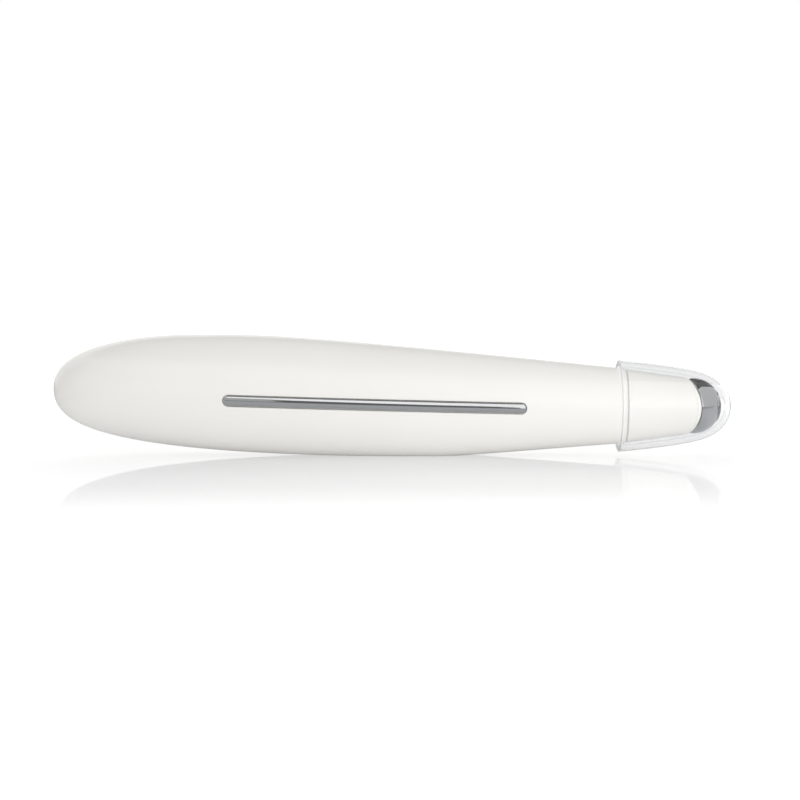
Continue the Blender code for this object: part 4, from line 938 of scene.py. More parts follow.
def winding(name, material, centre, start_radius, finish_radius, length, turns, wire, axis="X"):
    """Wire wound along an axis by Geometry Nodes, as a plain mesh."""
    growth = Growth(name, {
        "Turns": float(turns), "Start Radius": start_radius, "End Radius": finish_radius,
        "Length": length, "Wire Radius": wire,
    })
    spiral = growth.add("GeometryNodeCurveSpiral", {
        "Resolution": COIL_STEPS, "Rotations": growth.inputs["Turns"],
        "Start Radius": growth.inputs["Start Radius"], "End Radius": growth.inputs["End Radius"],
        "Height": growth.inputs["Length"],
    })
    section = growth.add(
        "GeometryNodeCurvePrimitiveCircle", {"Resolution": WIRE_SIDES, "Radius": growth.inputs["Wire Radius"]}
    )
    sweep = growth.add("GeometryNodeCurveToMesh", {"Curve": spiral, "Profile Curve": section, "Fill Caps": True})
    holder = bpy.data.objects.new(name, bpy.data.meshes.new(name))
    bpy.context.scene.collection.objects.link(holder)
    mesh = growth.mesh(sweep, holder, material)
    for point in mesh.verts:
        x, y, z = point.co
        point.co = Vector(centre) + (Vector((z, x, y)) if axis == "X" else Vector((x, z, y)))
    return mesh


def cross(x, z, low, high, half, reach):
    """Two crossed slots."""
    return [
        block((x - wide, low, z - tall), (x + wide, high, z + tall)) for wide, tall in ((reach, half), (half, reach))
    ]


STEEL = metal("nickel_plate", (0.62, 0.61, 0.58), 0.3)

for name in ("cradle_screw_tail", "cradle_screw_front", "board_screw_tail", "board_screw_front"):
    low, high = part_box(name)
    seat = high.y - SCREW_HEAD_HEIGHT
    x, z = (low.x + high.x) / 2, (low.z + high.z) / 2
    profile = [(-SCREW_LENGTH, 0), (-SCREW_LENGTH + SCREW_POINT, SCREW_RADIUS - THREAD_WIRE)]
    profile += [(0, SCREW_RADIUS - THREAD_WIRE), (0, SCREW_HEAD_RADIUS)]
    for share in np.linspace(0.3, 1, 8):
        turn = share * math.pi / 2
        narrow = max(0.0, math.cos(turn)) ** SCREW_DOME
        profile.append((SCREW_HEAD_HEIGHT * math.sin(turn), SCREW_HEAD_RADIUS * narrow))
    screw = finished(f"{name}_turned", turned(profile, (x, seat, z), "Y", 32), STEEL)
    top = seat + SCREW_HEAD_HEIGHT
    half, reach = RECESS_WIDTH / 2, SCREW_HEAD_RADIUS * RECESS_REACH
    carve(screw, cross(x, z, top - RECESS_DEPTH, top + OVER, half, reach))
    run = SCREW_LENGTH - THREAD_END
    thread = winding(
        "thread", STEEL, (x, seat - run - THREAD_START, z), SCREW_RADIUS - 2 * THREAD_WIRE,
        SCREW_RADIUS - THREAD_WIRE, run, THREAD_TURNS, THREAD_WIRE, "Y",
    )
    carve(screw, [thread], "UNION")
    put(screw, name, "housing")


# Push nuts: two dished washers of spring steel, slit into teeth that bite on the strip's studs.
NUT_BORE = 0.0007
NUT_DISH = 0.0004
NUT_THICKNESS = 0.75 * NUT_DISH
NUT_FLAT = 0.6
NUT_ROUND = 0.00005
NUT_TEETH = 3
SLIT_HALF, SLIT_REACH = 0.0001, 0.7

for name in ("strip_nut_tail", "strip_nut_front"):
    low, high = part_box(name)
    x, z = (low.x + high.x) / 2, (low.z + high.z) / 2
    nut_radius = (high.x - low.x) / 2
    edge, flat = nut_radius - NUT_ROUND, NUT_FLAT * nut_radius
    washer = [(low.y, edge), (low.y + NUT_ROUND, nut_radius), (low.y + NUT_DISH - NUT_ROUND, nut_radius)]
    washer += [(low.y + NUT_DISH, edge), (low.y + NUT_DISH, flat), (high.y, NUT_BORE)]
    washer += [(high.y - NUT_THICKNESS, NUT_BORE), (low.y, flat)]
    nut = finished(f"{name}_pressed", turned(washer, (x, 0, z), "Y", 60, ring=True), STEEL)
    teeth = []
    for i in range(NUT_TEETH):
        slit = block((0, low.y - OVER, -SLIT_HALF), (SLIT_REACH * nut_radius, high.y + OVER, SLIT_HALF))
        turn = math.tau * i / NUT_TEETH
        for point in slit.verts:
            across, up = point.co.x, point.co.z
            point.co.x = x + across * math.cos(turn) - up * math.sin(turn)
            point.co.z = z + across * math.sin(turn) + up * math.cos(turn)
        teeth.append(slit)
    carve(nut, teeth)
    put(nut, name, "housing")


# Battery bay: a grey tray for one AAA cell, screwed to the right shell by its two ears. A wound spring on a plate
# is the minus contact, and a dimpled plate the plus one.
CRADLE_LOW, CRADLE_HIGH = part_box("battery_cradle")
BATTERY_LOW, BATTERY_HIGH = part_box("battery")
BATTERY_RADIUS = (BATTERY_HIGH.z - BATTERY_LOW.z) / 2
BATTERY_AXIS = ((BATTERY_LOW.y + BATTERY_HIGH.y) / 2, (BATTERY_LOW.z + BATTERY_HIGH.z) / 2)
EAR_LENGTH = 0.0058
EAR_THICKNESS = 0.0016
EAR_WIDTH = 0.0078
EAR_BACK = -0.001
EAR_HOLE = 0.001
TROUGH_GAP = 0.0002
CRADLE_WALL = 0.0012
WIRE_SLOT = 0.0006
MOULD_ROUND = 0.00025
COPPER_BAND = 0.013
SLEEVE_TURN_IN = 0.0006
CELL_ROUND = 0.0004
SHEET_ROUND = 0.00012
DIMPLE = -0.00025
SPRING_WIRE = 0.0003


def moulded(name, colour, roughness, grain=2600):
    """Plain moulded plastic with a fine spark-eroded grain."""
    finish = Finish(name, colour, roughness)
    skin = finish.noise(grain, detail=3.0)
    finish.set("Roughness", (roughness - 0.08) + 0.16 * skin)
    finish.set("Base Color", finish.blend(skin, tuple(0.9 * share for share in colour), colour))
    finish.bump(skin, 0.00001, 0.4)
    return finish.material


GREY = moulded("grey_polyamide", (0.35, 0.36, 0.38), 0.5)
cradle = finished("cradle_moulding", block(
    (CRADLE_LOW.x + EAR_LENGTH, CRADLE_LOW.y, CRADLE_LOW.z),
    (CRADLE_HIGH.x - EAR_LENGTH, CRADLE_HIGH.y, CRADLE_HIGH.z), MOULD_ROUND,
), GREY)
ear_middle = (CRADLE_LOW.z + CRADLE_HIGH.z) / 2
ears = block(
    (CRADLE_LOW.x, EAR_BACK, ear_middle - EAR_WIDTH / 2),
    (CRADLE_HIGH.x, EAR_BACK + EAR_THICKNESS, ear_middle + EAR_WIDTH / 2), MOULD_ROUND,
)
carve(cradle, [ears], "UNION")
half_trough = (CRADLE_HIGH.x - CRADLE_LOW.x) / 2 - EAR_LENGTH - CRADLE_WALL
trough = rod(-half_trough, half_trough, BATTERY_RADIUS + TROUGH_GAP)
cradle_middle = (CRADLE_LOW.x + CRADLE_HIGH.x) / 2
ear_profile = rod(EAR_BACK - OVER, EAR_BACK + 2 * OVER + EAR_THICKNESS, EAR_HOLE)
ear_holes = [
    turned(ear_profile, on_seam(name), "Y", 32) for name in ("cradle_screw_tail", "cradle_screw_front")
]
wire_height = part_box("negative_contact_plate")[0].z + WIRE_SLOT
wire_slot = block(
    (CRADLE_LOW.x, BATTERY_AXIS[0] - WIRE_SLOT, wire_height - WIRE_SLOT),
    (CRADLE_HIGH.x, BATTERY_AXIS[0] + WIRE_SLOT, wire_height + WIRE_SLOT),
)
carve(cradle, [turned(trough, (cradle_middle, *BATTERY_AXIS), "X", 96), *ear_holes, wire_slot])
put(cradle, "battery_cradle", "housing")


def cell_sleeve(name):
    """Shrink sleeve of a plain cell: copper-coloured at the plus end, black over the rest, steel at both ends."""
    finish = Finish(name, (0.55, 0.2, 0.05), 0.3, Coat_Weight=0.3)
    copper = finish.along(0).above(BATTERY_HIGH.x - COPPER_BAND)
    film = finish.noise(900, detail=2.0)
    sleeve_colour = finish.blend(copper, (0.02, 0.02, 0.022), (0.62, 0.27, 0.09))
    across = finish.along(1) - BATTERY_AXIS[0]
    up = finish.along(2) - BATTERY_AXIS[1]
    bare = 1 - (across * across + up * up).power(0.5).above(BATTERY_RADIUS - SLEEVE_TURN_IN)
    finish.set("Base Color", finish.blend(bare, sleeve_colour, (0.6, 0.6, 0.58)))
    finish.set("Metallic", bare + 0.6 * copper * (1 - bare))
    finish.set("Roughness", 0.22 + 0.16 * film)
    finish.bump(film, 0.00001, 0.3)
    return finish.material


cell_end = BATTERY_HIGH.x - BATTERY_LOW.x - 0.0008
cell_profile = [(0, 0), (0, BATTERY_RADIUS - 0.0014), (0.0002, BATTERY_RADIUS - 0.0012)]
cell_profile += eased(0, cell_end, BATTERY_RADIUS, CELL_ROUND)
cell_profile += [(cell_end - 0.0002, BATTERY_RADIUS - 0.0012), (cell_end - 0.0002, 0.0021)]
cell_profile += [(cell_end, 0.0019), *arc((cell_end + 0.0006, 0.0017), 0.0002, 90, 0), (cell_end + 0.0008, 0)]
cell = finished(
    "aaa_cell", turned(cell_profile, (BATTERY_LOW.x, *BATTERY_AXIS), "X", 96), cell_sleeve("plain_shrink_sleeve")
)
put(cell, "battery", "housing")

for name in ("negative_contact_plate", "positive_contact_plate"):
    low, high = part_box(name)
    contact = finished(f"{name}_pressed", block(low, high, SHEET_ROUND), STEEL)
    if name == "positive_contact_plate":
        boss = [(DIMPLE, 0), (DIMPLE, 0.0012), (0.0001, 0.0018), (0.0001, 0)]
        carve(contact, [turned(boss, (low.x, *BATTERY_AXIS), "X", 48)], "UNION")
    put(contact, name, "housing")

for name, node, axis, radii, turns in (
    ("minus_spring", "negative_contact_spring", BATTERY_AXIS, (0.0033, 0.0021), 3.5),
    ("tip_feed_spring", "tip_contact_spring", (0, HEAD_AXIS_HEIGHT), (0.0021, 0.0021), 4),
):
    low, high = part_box(node)
    run = high.x - low.x - 2 * SPRING_WIRE
    coil = winding(name, STEEL, (low.x + SPRING_WIRE, *axis), *radii, run, turns, SPRING_WIRE)
    put(finished(name, coil, STEEL), node, "housing")


# Seal and insulator of the neck: an O-ring of black rubber on the spigot, and a turned cup of grey plastic that
# keeps the chromed dome apart from the motor's parts. The cup has one hole for the lead.
SEAL_CENTRE = (-0.0025, 0.00565)
SEAL_RADIUS = 0.00032
CUP_START = 0.0093
CUP_WALL = 0.0008
CUP_RADIUS = MOUTH_BORE - 0.00005
CUP_BORE = TIP_SPIGOT_RADIUS + 0.00005
CUP_HOLE = 0.0009
CUP_ROUND = 0.0002

RUBBER = moulded("black_rubber", (0.028, 0.028, 0.03), 0.6)
seal_profile = arc(SEAL_CENTRE, SEAL_RADIUS, 0, 345, 23)
seal = finished("rubber_ring", turned(seal_profile, HEAD_CENTRE, steps=128, ring=True), RUBBER)
put(seal, "neck_seal", "housing")

cup_end = NECK_LENGTH - 0.0003
cup_profile = [(CUP_START, CUP_HOLE), *eased(CUP_START, cup_end, CUP_RADIUS, CUP_ROUND)]
cup_profile += [(cup_end, CUP_BORE + CUP_ROUND), (cup_end - CUP_ROUND, CUP_BORE)]
cup_profile += [(CUP_START + CUP_WALL, CUP_BORE), (CUP_START + CUP_WALL, CUP_HOLE)]
cup = finished("insulating_cup", turned(cup_profile, HEAD_CENTRE, steps=96, ring=True), GREY)
put(cup, "tip_insulator", "housing")


# Motor: a 5 mm vibration motor in a ribbed rubber boot with a flange, slit underneath for the lead. The can is
# drawn steel, its end cap white nylon, and the shaft carries a pressed weight, open on one side.
MOTOR_RADIUS = 0.0025
MOTOR_BACK, MOTOR_FACE, MOTOR_NOSE = -0.0096, 0.0024, 0.0032
CAN_WALL = 0.00025
CAN_ROUND = 0.0004
CAN_LIP = 0.0001
NOSE_RADIUS = 0.0013
BEARING_RADIUS = 0.0008
BOOT_BACK, BOOT_FLANGE = -0.0102, 0.0009
BOOT_RADIUS = 0.0036
BOOT_FLANGE_RADIUS = 0.0044
BOOT_RIB = 0.00022
BOOT_RIBS = 4
BOOT_SLIT = 0.0006
BOOT_ROUND = 0.0002
BOOT_BORE = MOTOR_RADIUS + 0.00002
END_CAP_BACK = -0.0109
SHAFT_RADIUS = 0.0005
WEIGHT_START, WEIGHT_END = 0.0037, 0.0067
WEIGHT_RADIUS = 0.0023
WEIGHT_EDGE = 0.00015

boot_profile = [(BOOT_BACK, BOOT_BORE)]
boot_profile += eased(BOOT_BACK, BOOT_BACK + BOOT_FLANGE, BOOT_FLANGE_RADIUS, BOOT_ROUND)
boot_profile.append((BOOT_BACK + BOOT_FLANGE, BOOT_RADIUS))
boot_run = MOTOR_FACE - BOOT_BACK - BOOT_FLANGE
for i in range(BOOT_RIBS):
    rib_place = BOOT_BACK + BOOT_FLANGE + (i + 0.7) / BOOT_RIBS * boot_run
    boot_profile += arc((rib_place, BOOT_RADIUS), BOOT_RIB, 180, 0, 8)
boot_profile += [(MOTOR_FACE, BOOT_RADIUS), (MOTOR_FACE, BOOT_BORE)]
boot = finished("motor_boot", turned(boot_profile, HEAD_CENTRE, steps=96, ring=True), RUBBER)
slit_top = HEAD_AXIS_HEIGHT - MOTOR_RADIUS + CAN_WALL
boot_slit = block(
    (HEAD + BOOT_BACK - OVER, -BOOT_SLIT, slit_top - 2 * BOOT_RADIUS),
    (HEAD + MOTOR_FACE + OVER, BOOT_SLIT, slit_top),
)
carve(boot, [boot_slit])
put(boot, "motor_sleeve", "housing")

can_profile = [(MOTOR_BACK, MOTOR_RADIUS - CAN_WALL)]
can_profile += arc((MOTOR_BACK + CAN_LIP, MOTOR_RADIUS - CAN_LIP), CAN_LIP, 180, 90)
can_profile += arc((MOTOR_FACE - CAN_ROUND, MOTOR_RADIUS - CAN_ROUND), CAN_ROUND, 90, 0)
can_profile += [(MOTOR_FACE, NOSE_RADIUS + 0.0001), (MOTOR_FACE + 0.0001, NOSE_RADIUS)]
can_profile += arc((MOTOR_NOSE - 0.00015, NOSE_RADIUS - 0.00015), 0.00015, 90, 0)
can_profile += [(MOTOR_NOSE, BEARING_RADIUS), (MOTOR_FACE - CAN_WALL, BEARING_RADIUS)]
can_profile.append((MOTOR_FACE - CAN_WALL, MOTOR_RADIUS - CAN_ROUND))
can_profile.append((MOTOR_FACE - CAN_ROUND, MOTOR_RADIUS - CAN_WALL))
can = finished("motor_can_drawn", turned(can_profile, HEAD_CENTRE, steps=96, ring=True), STEEL)
put(can, "motor_can", "housing")

TERMINAL_PLACE = 0.0014
TERMINAL_LENGTH = 0.0009
TERMINAL_WIDTH = 0.001
TERMINAL_THICKNESS = 0.00016
TERMINAL_ROOT = 0.0004


def with_metal(name, colour, is_metal, roughness=0.42):
    """Moulded resin with metal parts, which are told from it by their place."""
    finish = Finish(name, colour, roughness)
    bare = is_metal(finish, *[finish.along(axis) for axis in range(3)])
    grain = finish.noise(3000, detail=2.0)
    worn = finish.blend(grain, tuple(0.85 * share for share in colour), colour)
    finish.set("Base Color", finish.blend(bare, worn, (0.62, 0.61, 0.59)))
    finish.set("Metallic", bare)
    finish.set("Roughness", (roughness - 0.1) + 0.2 * grain)
    finish.bump(grain, 0.000008, 0.4)
    return finish.material


back = HEAD + END_CAP_BACK
NYLON = with_metal("white_nylon", (0.78, 0.78, 0.75), lambda finish, x, y, z: 1 - x.above(back - 0.00001))
end_cap_radius = MOTOR_RADIUS - CAN_WALL - 0.00002
end_profile = [(END_CAP_BACK, BEARING_RADIUS)]
end_profile += arc((END_CAP_BACK + 0.0002, end_cap_radius - 0.0002), 0.0002, 180, 90)
end_profile += [(MOTOR_BACK + 0.0006, end_cap_radius), (MOTOR_BACK + 0.0006, BEARING_RADIUS)]
end_cap = finished("motor_end_cap_moulded", turned(end_profile, HEAD_CENTRE, steps=96, ring=True), NYLON)
tabs = []
for side in (1, -1):
    height = HEAD_AXIS_HEIGHT + side * TERMINAL_PLACE
    low = (back - TERMINAL_LENGTH, -TERMINAL_WIDTH / 2, height - TERMINAL_THICKNESS / 2)
    high = (back + TERMINAL_ROOT, TERMINAL_WIDTH / 2, height + TERMINAL_THICKNESS / 2)
    tabs.append(block(low, high))
carve(end_cap, tabs, "UNION")
put(end_cap, "motor_end_cap", "housing")

shaft_profile = [(END_CAP_BACK, 0), (END_CAP_BACK, SHAFT_RADIUS - 0.0001), (END_CAP_BACK + 0.0001, SHAFT_RADIUS)]
shaft_profile += [(WEIGHT_END - 0.0001, SHAFT_RADIUS), (WEIGHT_END, SHAFT_RADIUS - 0.0001), (WEIGHT_END, 0)]
shaft = finished("motor_shaft_ground", turned(shaft_profile, HEAD_CENTRE, steps=48), STEEL)
put(shaft, "motor_shaft", "rotor")

TUNGSTEN = metal("sintered_tungsten", (0.3, 0.29, 0.28), 0.42)
weight_profile = [(WEIGHT_START, SHAFT_RADIUS + 0.00001)]
weight_profile += eased(WEIGHT_START, WEIGHT_END, WEIGHT_RADIUS, WEIGHT_EDGE)
weight_profile.append((WEIGHT_END, SHAFT_RADIUS + 0.00001))
weight = finished("eccentric_weight_pressed", turned(weight_profile, HEAD_CENTRE, steps=96, ring=True), TUNGSTEN)
weight_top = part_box("eccentric_weight")[1].z
carve(weight, [block(
    (HEAD + WEIGHT_START - OVER, -2 * WEIGHT_RADIUS, weight_top),
    (HEAD + WEIGHT_END + OVER, 2 * WEIGHT_RADIUS, weight_top + 2 * WEIGHT_RADIUS),
)])
put(weight, "eccentric_weight", "rotor")


# Circuit board: glass-fibre laminate under green solder mask, with tinned pads round the screw holes and solder
# where parts and leads come through. Two screws hold it.
BOARD_LOW, BOARD_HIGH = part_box("circuit_board")
BOARD_HOLE = 0.00095
PAD_RADIUS = 0.0017
TRACK_PITCH = 0.0009
TRACK_SHARE = 0.48
TRACK_BREAKS, LANE_SHIFT, TRACK_GAPS = 260, 7.3, 0.47
SOLDER_RADIUS = 0.0006
SOLDER_DOME, SOLDER_ROOT = 0.0003, 0.0002
SOLDER_JOINTS = 7
SOLDER_STEP = 0.00254


def repeated(mesh, material, count, start, step):
    """Copies of a mesh in a row, set out by Geometry Nodes, as a plain mesh."""
    growth = Growth("row", {"Count": count, "Start": start, "Step": step})
    line = growth.add("GeometryNodeMeshLine", {
        "Count": growth.inputs["Count"], "Start Location": growth.inputs["Start"],
        "Offset": growth.inputs["Step"],
    }, mode="OFFSET")
    copies = growth.add("GeometryNodeInstanceOnPoints", {"Points": line, "Instance": growth.inputs["Geometry"]})
    return growth.mesh(copies, finished("row", mesh, material), material)


def solder_mask(name):
    """Green mask over copper tracks. What stands proud of the laminate, and the pads, is tinned."""
    finish = Finish(name, (0.01, 0.16, 0.06), 0.3, Coat_Weight=0.3)
    x, y, z = (finish.along(axis) for axis in range(3))
    lane = z / TRACK_PITCH
    whole = finish.add("ShaderNodeMath", {"operation": "FLOOR"}, [lane])
    run = finish.add("ShaderNodeCombineXYZ", {}, [x * TRACK_BREAKS, whole * LANE_SHIFT, 0.0])
    broken = finish.add("ShaderNodeTexNoise", {}, {"Vector": run, "Scale": 1.0, "Detail": 0.0})
    track = (1 - (lane - whole - 0.5).absolute().above(TRACK_SHARE / 2)) * broken.above(TRACK_GAPS)
    mask = finish.blend(track, (0.006, 0.1, 0.035), (0.02, 0.24, 0.08))
    pads = y.above(BOARD_HIGH.y + 0.00001) + (1 - y.above(BOARD_LOW.y - 0.00001))
    for screw in ("board_screw_tail", "board_screw_front"):
        across, up = x - middle(screw).x, z - middle(screw).z
        pads = pads + (1 - (across * across + up * up).power(0.5).above(PAD_RADIUS))
    finish.set("Base Color", finish.blend(pads, mask, (0.6, 0.58, 0.55)))
    finish.set("Metallic", pads)
    finish.set("Roughness", 0.26 + 0.1 * finish.noise(2500))
    finish.bump(track, 0.00003, 0.5)
    return finish.material


MASK = solder_mask("green_solder_mask")
board = finished("board_laminate", block(BOARD_LOW, BOARD_HIGH, SHEET_ROUND), MASK)
hole_profile = rod(BOARD_LOW.y - OVER, BOARD_HIGH.y + OVER, BOARD_HOLE)
carve(board, [turned(hole_profile, on_seam(name), "Y", 40) for name in ("board_screw_tail", "board_screw_front")])
bump_profile = [(SOLDER_ROOT, 0), (SOLDER_ROOT, SOLDER_RADIUS)]
for turn in np.linspace(0.2, 1.5, 6):
    bump_profile.append((-SOLDER_DOME * math.sin(turn), SOLDER_RADIUS * math.cos(turn) ** 1.5))
bump_profile.append((-SOLDER_DOME, 0))
solder = repeated(
    turned(bump_profile, (0, 0, 0), "Y", 16), MASK, SOLDER_JOINTS,
    (BOARD_LOW.x + 0.0042, BOARD_LOW.y, BOARD_LOW.z + 0.0014), (SOLDER_STEP, 0, 0),
)
carve(board, [solder], "UNION")
put(board, "circuit_board", "housing")


# Parts on the board: the push switch under the button with its steel lid and four legs, its plunger, the control
# chip with eight gull-wing legs, and a small electrolytic capacitor.
BOARD_TOP = BOARD_HIGH.y
RESIN_ROUND = 0.00015
LEG_THICKNESS = 0.00022
LEG_ROOT = 0.00015
CHIP_LEG, CHIP_PITCH, CHIP_RAISED = (0.0006, 0.0007, 0.0004), 0.00127, 0.00015
SWITCH_LEG, SWITCH_PITCH, SWITCH_RAISED = (0.0008, 0.0009, 0.0007), 0.0045, 0.0001
DOT_RADIUS, DOT_DEPTH, DOT_INSET = 0.0003, 0.0001, 0.0007
LID_THICKNESS = 0.0004
METAL_EDGE = 0.00002
WELL_DEPTH = 0.0007
PLUNGER_GAP = 0.00008
PLUNGER_ROUND = 0.0002
PLUNGER_CROWN = 0.00005
VENT_HALF, VENT_REACH, VENT_DEPTH = 0.00006, 0.001, 0.00016
FILM_ROUND = 0.0002
CAN_TOP_ROUND = 0.0003
CAN_TOP_SUNK = 0.00008


def leg(reach, rise, width):
    """Gull-wing leg: out of the body, down and out along the board. Its foot lies at the origin's height."""
    mesh = bmesh.new()
    thick = LEG_THICKNESS
    line = [(0, rise), (0.4 * reach, rise), (0.55 * reach, thick), (reach, thick), (reach, 0), (0.45 * reach, 0)]
    line += [(0.3 * reach, rise - thick), (0, rise - thick)]
    for x in (-width / 2, width / 2):
        mesh.faces.new([mesh.verts.new((x, y, z)) for z, y in line])
    bmesh.ops.bridge_loops(mesh, edges=mesh.edges[:])
    return mesh


def add_legs(piece, material, size, count, pitch, centre, half):
    """Joins a row of legs on along both sides of a part on the board."""
    for side in (1, -1):
        wing = leg(*size)
        for point in wing.verts:
            point.co.z = side * (point.co.z - LEG_ROOT)
        first = (centre.x - (count - 1) / 2 * pitch, BOARD_TOP, centre.z + side * half)
        carve(piece, [repeated(wing, material, count, first, (pitch, 0, 0))], "UNION")


chip_low, chip_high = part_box("control_chip")
chip_middle = middle("control_chip")
half_chip = (chip_high.z - chip_low.z) / 2
RESIN = with_metal(
    "chip_resin", (0.02, 0.02, 0.022),
    lambda finish, x, y, z: (z - chip_middle.z).absolute().above(half_chip + METAL_EDGE),
)
chip = finished("control_chip_body", block(
    (chip_low.x, BOARD_TOP + CHIP_RAISED, chip_low.z), chip_high, RESIN_ROUND
), RESIN)
dot = rod(chip_high.y - DOT_DEPTH, chip_high.y + OVER, DOT_RADIUS)
carve(chip, [turned(dot, (chip_low.x + DOT_INSET, 0, chip_low.z + DOT_INSET), "Y", 24)])
add_legs(chip, RESIN, CHIP_LEG, 4, CHIP_PITCH, chip_middle, half_chip)
put(chip, "control_chip", "housing")

switch_low, switch_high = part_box("tact_switch")
switch_middle = middle("tact_switch")
half_switch = (switch_high.x - switch_low.x) / 2
SWITCH_BODY = with_metal(
    "switch_resin", (0.02, 0.02, 0.022),
    lambda finish, x, y, z: finish.add("ShaderNodeMath", {"operation": "MAXIMUM"}, [
        y.above(switch_high.y - LID_THICKNESS),
        (z - switch_middle.z).absolute().above(half_switch + METAL_EDGE),
    ]),
)
switch = finished("push_switch", block(
    (switch_low.x, BOARD_TOP + SWITCH_RAISED, switch_low.z), switch_high, RESIN_ROUND
), SWITCH_BODY)
add_legs(switch, SWITCH_BODY, SWITCH_LEG, 2, SWITCH_PITCH, switch_middle, half_switch)
plunger_low, plunger_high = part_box("switch_plunger")
plunger_radius = (plunger_high.x - plunger_low.x) / 2
well = rod(plunger_low.y - WELL_DEPTH, switch_high.y + OVER, plunger_radius + PLUNGER_GAP)
carve(switch, [turned(well, on_seam("tact_switch"), "Y", 64)])
put(switch, "tact_switch", "housing")

plunger_profile = [(plunger_low.y, 0), (plunger_low.y, plunger_radius)]
flat_radius = plunger_radius - PLUNGER_ROUND
for radius, place in arc((flat_radius, plunger_high.y - PLUNGER_ROUND), PLUNGER_ROUND, 0, 90):
    plunger_profile.append((place, radius))
for share in (0.8, 0.5, 0):
    plunger_profile.append((plunger_high.y + PLUNGER_CROWN * (1 - share * share), share * flat_radius))
KEY = moulded("plunger_nylon", (0.6, 0.6, 0.57), 0.45)
plunger = finished("plunger_moulded", turned(plunger_profile, on_seam("tact_switch"), "Y", 64), KEY)
put(plunger, "switch_plunger", "button")

can_low, can_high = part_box("storage_capacitor")
can_middle = middle("storage_capacitor")
can_radius = (can_high.x - can_low.x) / 2
CAN_FILM = with_metal(
    "capacitor_film", (0.03, 0.03, 0.045),
    lambda finish, x, y, z: y.above(can_high.y - 0.00025), roughness=0.35,
)
film_profile = [(BOARD_TOP, 0), (BOARD_TOP, can_radius - FILM_ROUND), (BOARD_TOP + FILM_ROUND, can_radius)]
film_profile += [(BOARD_TOP + 0.0006, can_radius), (BOARD_TOP + 0.0008, can_radius - FILM_ROUND)]
film_profile += [(BOARD_TOP + 0.001, can_radius)]
for radius, place in arc((can_radius - CAN_TOP_ROUND, can_high.y - CAN_TOP_ROUND), CAN_TOP_ROUND, 0, 90):
    film_profile.append((place, radius))
film_profile += [(can_high.y, can_radius - 0.0005), (can_high.y - CAN_TOP_SUNK, can_radius - 0.0006)]
film_profile.append((can_high.y - CAN_TOP_SUNK, 0))
film_mesh = turned(film_profile, on_seam("storage_capacitor"), "Y", 64)
capacitor = finished("capacitor_can", film_mesh, CAN_FILM)
carve(capacitor, cross(
    can_middle.x, can_middle.z, can_high.y - VENT_DEPTH, can_high.y, VENT_HALF, VENT_REACH,
))
put(capacitor, "storage_capacitor", "housing")


# Leads: six thin stranded wires in soft insulation, red for plus and for the dome, black for minus and the strip.
# They keep the frame's own runs from the contacts, the strip and the motor to the board.
LEADS = {
    "red_insulation": ((0.45, 0.015, 0.012), ("battery_lead_plus", "motor_lead_plus", "tip_lead")),
    "black_insulation": ((0.02, 0.02, 0.022), ("battery_lead_minus", "motor_lead_minus", "strip_lead")),
}
for slot_name, (colour, names) in LEADS.items():
    insulation = moulded(f"soft_{slot_name}", colour, 0.45, grain=1200)
    for name in names:
        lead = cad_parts[name]
        for holder in lead.material_slots:
            holder.material = insulation


# Table: a sheet of white acrylic, lit from below and polished. Near the pen it mirrors it as acrylic does at a flat
# angle, and towards its front edge the mirror image fades. The pen's shadow on it stays.
# In polished metal it shows as a painted grey reflection, and through clear plastic it carries painted shade near
# the pen.
FLOOR_SIZE = 3.0
FLOOR_GREY = 0.5
FLOOR_GLOW = 0.44
SEEN_GLOW = 0.187
POLISH_ROUGHNESS = 0.03
MIRROR_SHARE = 0.31
MIRROR_REACH = (0.045, 0.11)
# Painted reflection: what polished metal shows of the table is painted grey, darker away from the pen. Painted
# shade: through clear plastic the table shows a little grey near the pen.
NEAR_PAINTED_REFLECTION = (0.5, 0.51, 0.52)
FAR_PAINTED_REFLECTION = (0.17, 0.175, 0.185)
PAINTED_REFLECTION_REACH = (0.01, 0.17)
CLEAR_SHADE = 0.34
CLEAR_REACH = (0.02, 0.07)


def in_metal(finish, bare=1):
    """1 where the surface is seen in polished metal behind both walls of the clear cap, and bare in bare metal."""
    turns = finish.add("ShaderNodeLightPath", {}, [], output="Glossy Depth")
    passes = finish.add("ShaderNodeLightPath", {}, [], output="Transmission Depth")
    return turns.above(0.5) * (passes.above(3.5) + bare * (1 - passes.above(0.5)))


def course(value, reach, ends=(0.0, 1.0), kind="LINEAR"):
    """Runs from one end to the other as the value runs over its reach."""
    limits = {"From Min": reach[0], "From Max": reach[1], "To Min": ends[0], "To Max": ends[1]}
    return acrylic.add("ShaderNodeMapRange", {"interpolation_type": kind}, {"Value": value, **limits})


floor_mesh = bmesh.new()
bmesh.ops.create_grid(floor_mesh, x_segments=1, y_segments=1, size=FLOOR_SIZE)
acrylic = Finish("white_acrylic", (FLOOR_GREY, FLOOR_GREY, FLOOR_GREY), 0.6)
acrylic.set("Specular IOR Level", 0.0)
camera_ray, glossy_ray, clear_ray = [
    acrylic.add("ShaderNodeLightPath", {}, [], output=name)
    for name in ("Is Camera Ray", "Is Glossy Ray", "Is Transmission Ray")
]
aside = acrylic.along(1).absolute()
metal_ray = in_metal(acrylic)
near = course(aside, CLEAR_REACH, ends=(1.0, 0.0))
# Painted shade: seen through clear plastic, the table is darker by CLEAR_SHADE near the pen.
glow = FLOOR_GLOW + SEEN_GLOW * (camera_ray + glossy_ray + clear_ray) - CLEAR_SHADE * near * clear_ray
acrylic.set("Emission Color", (1.0, 1.0, 1.0, 1.0))
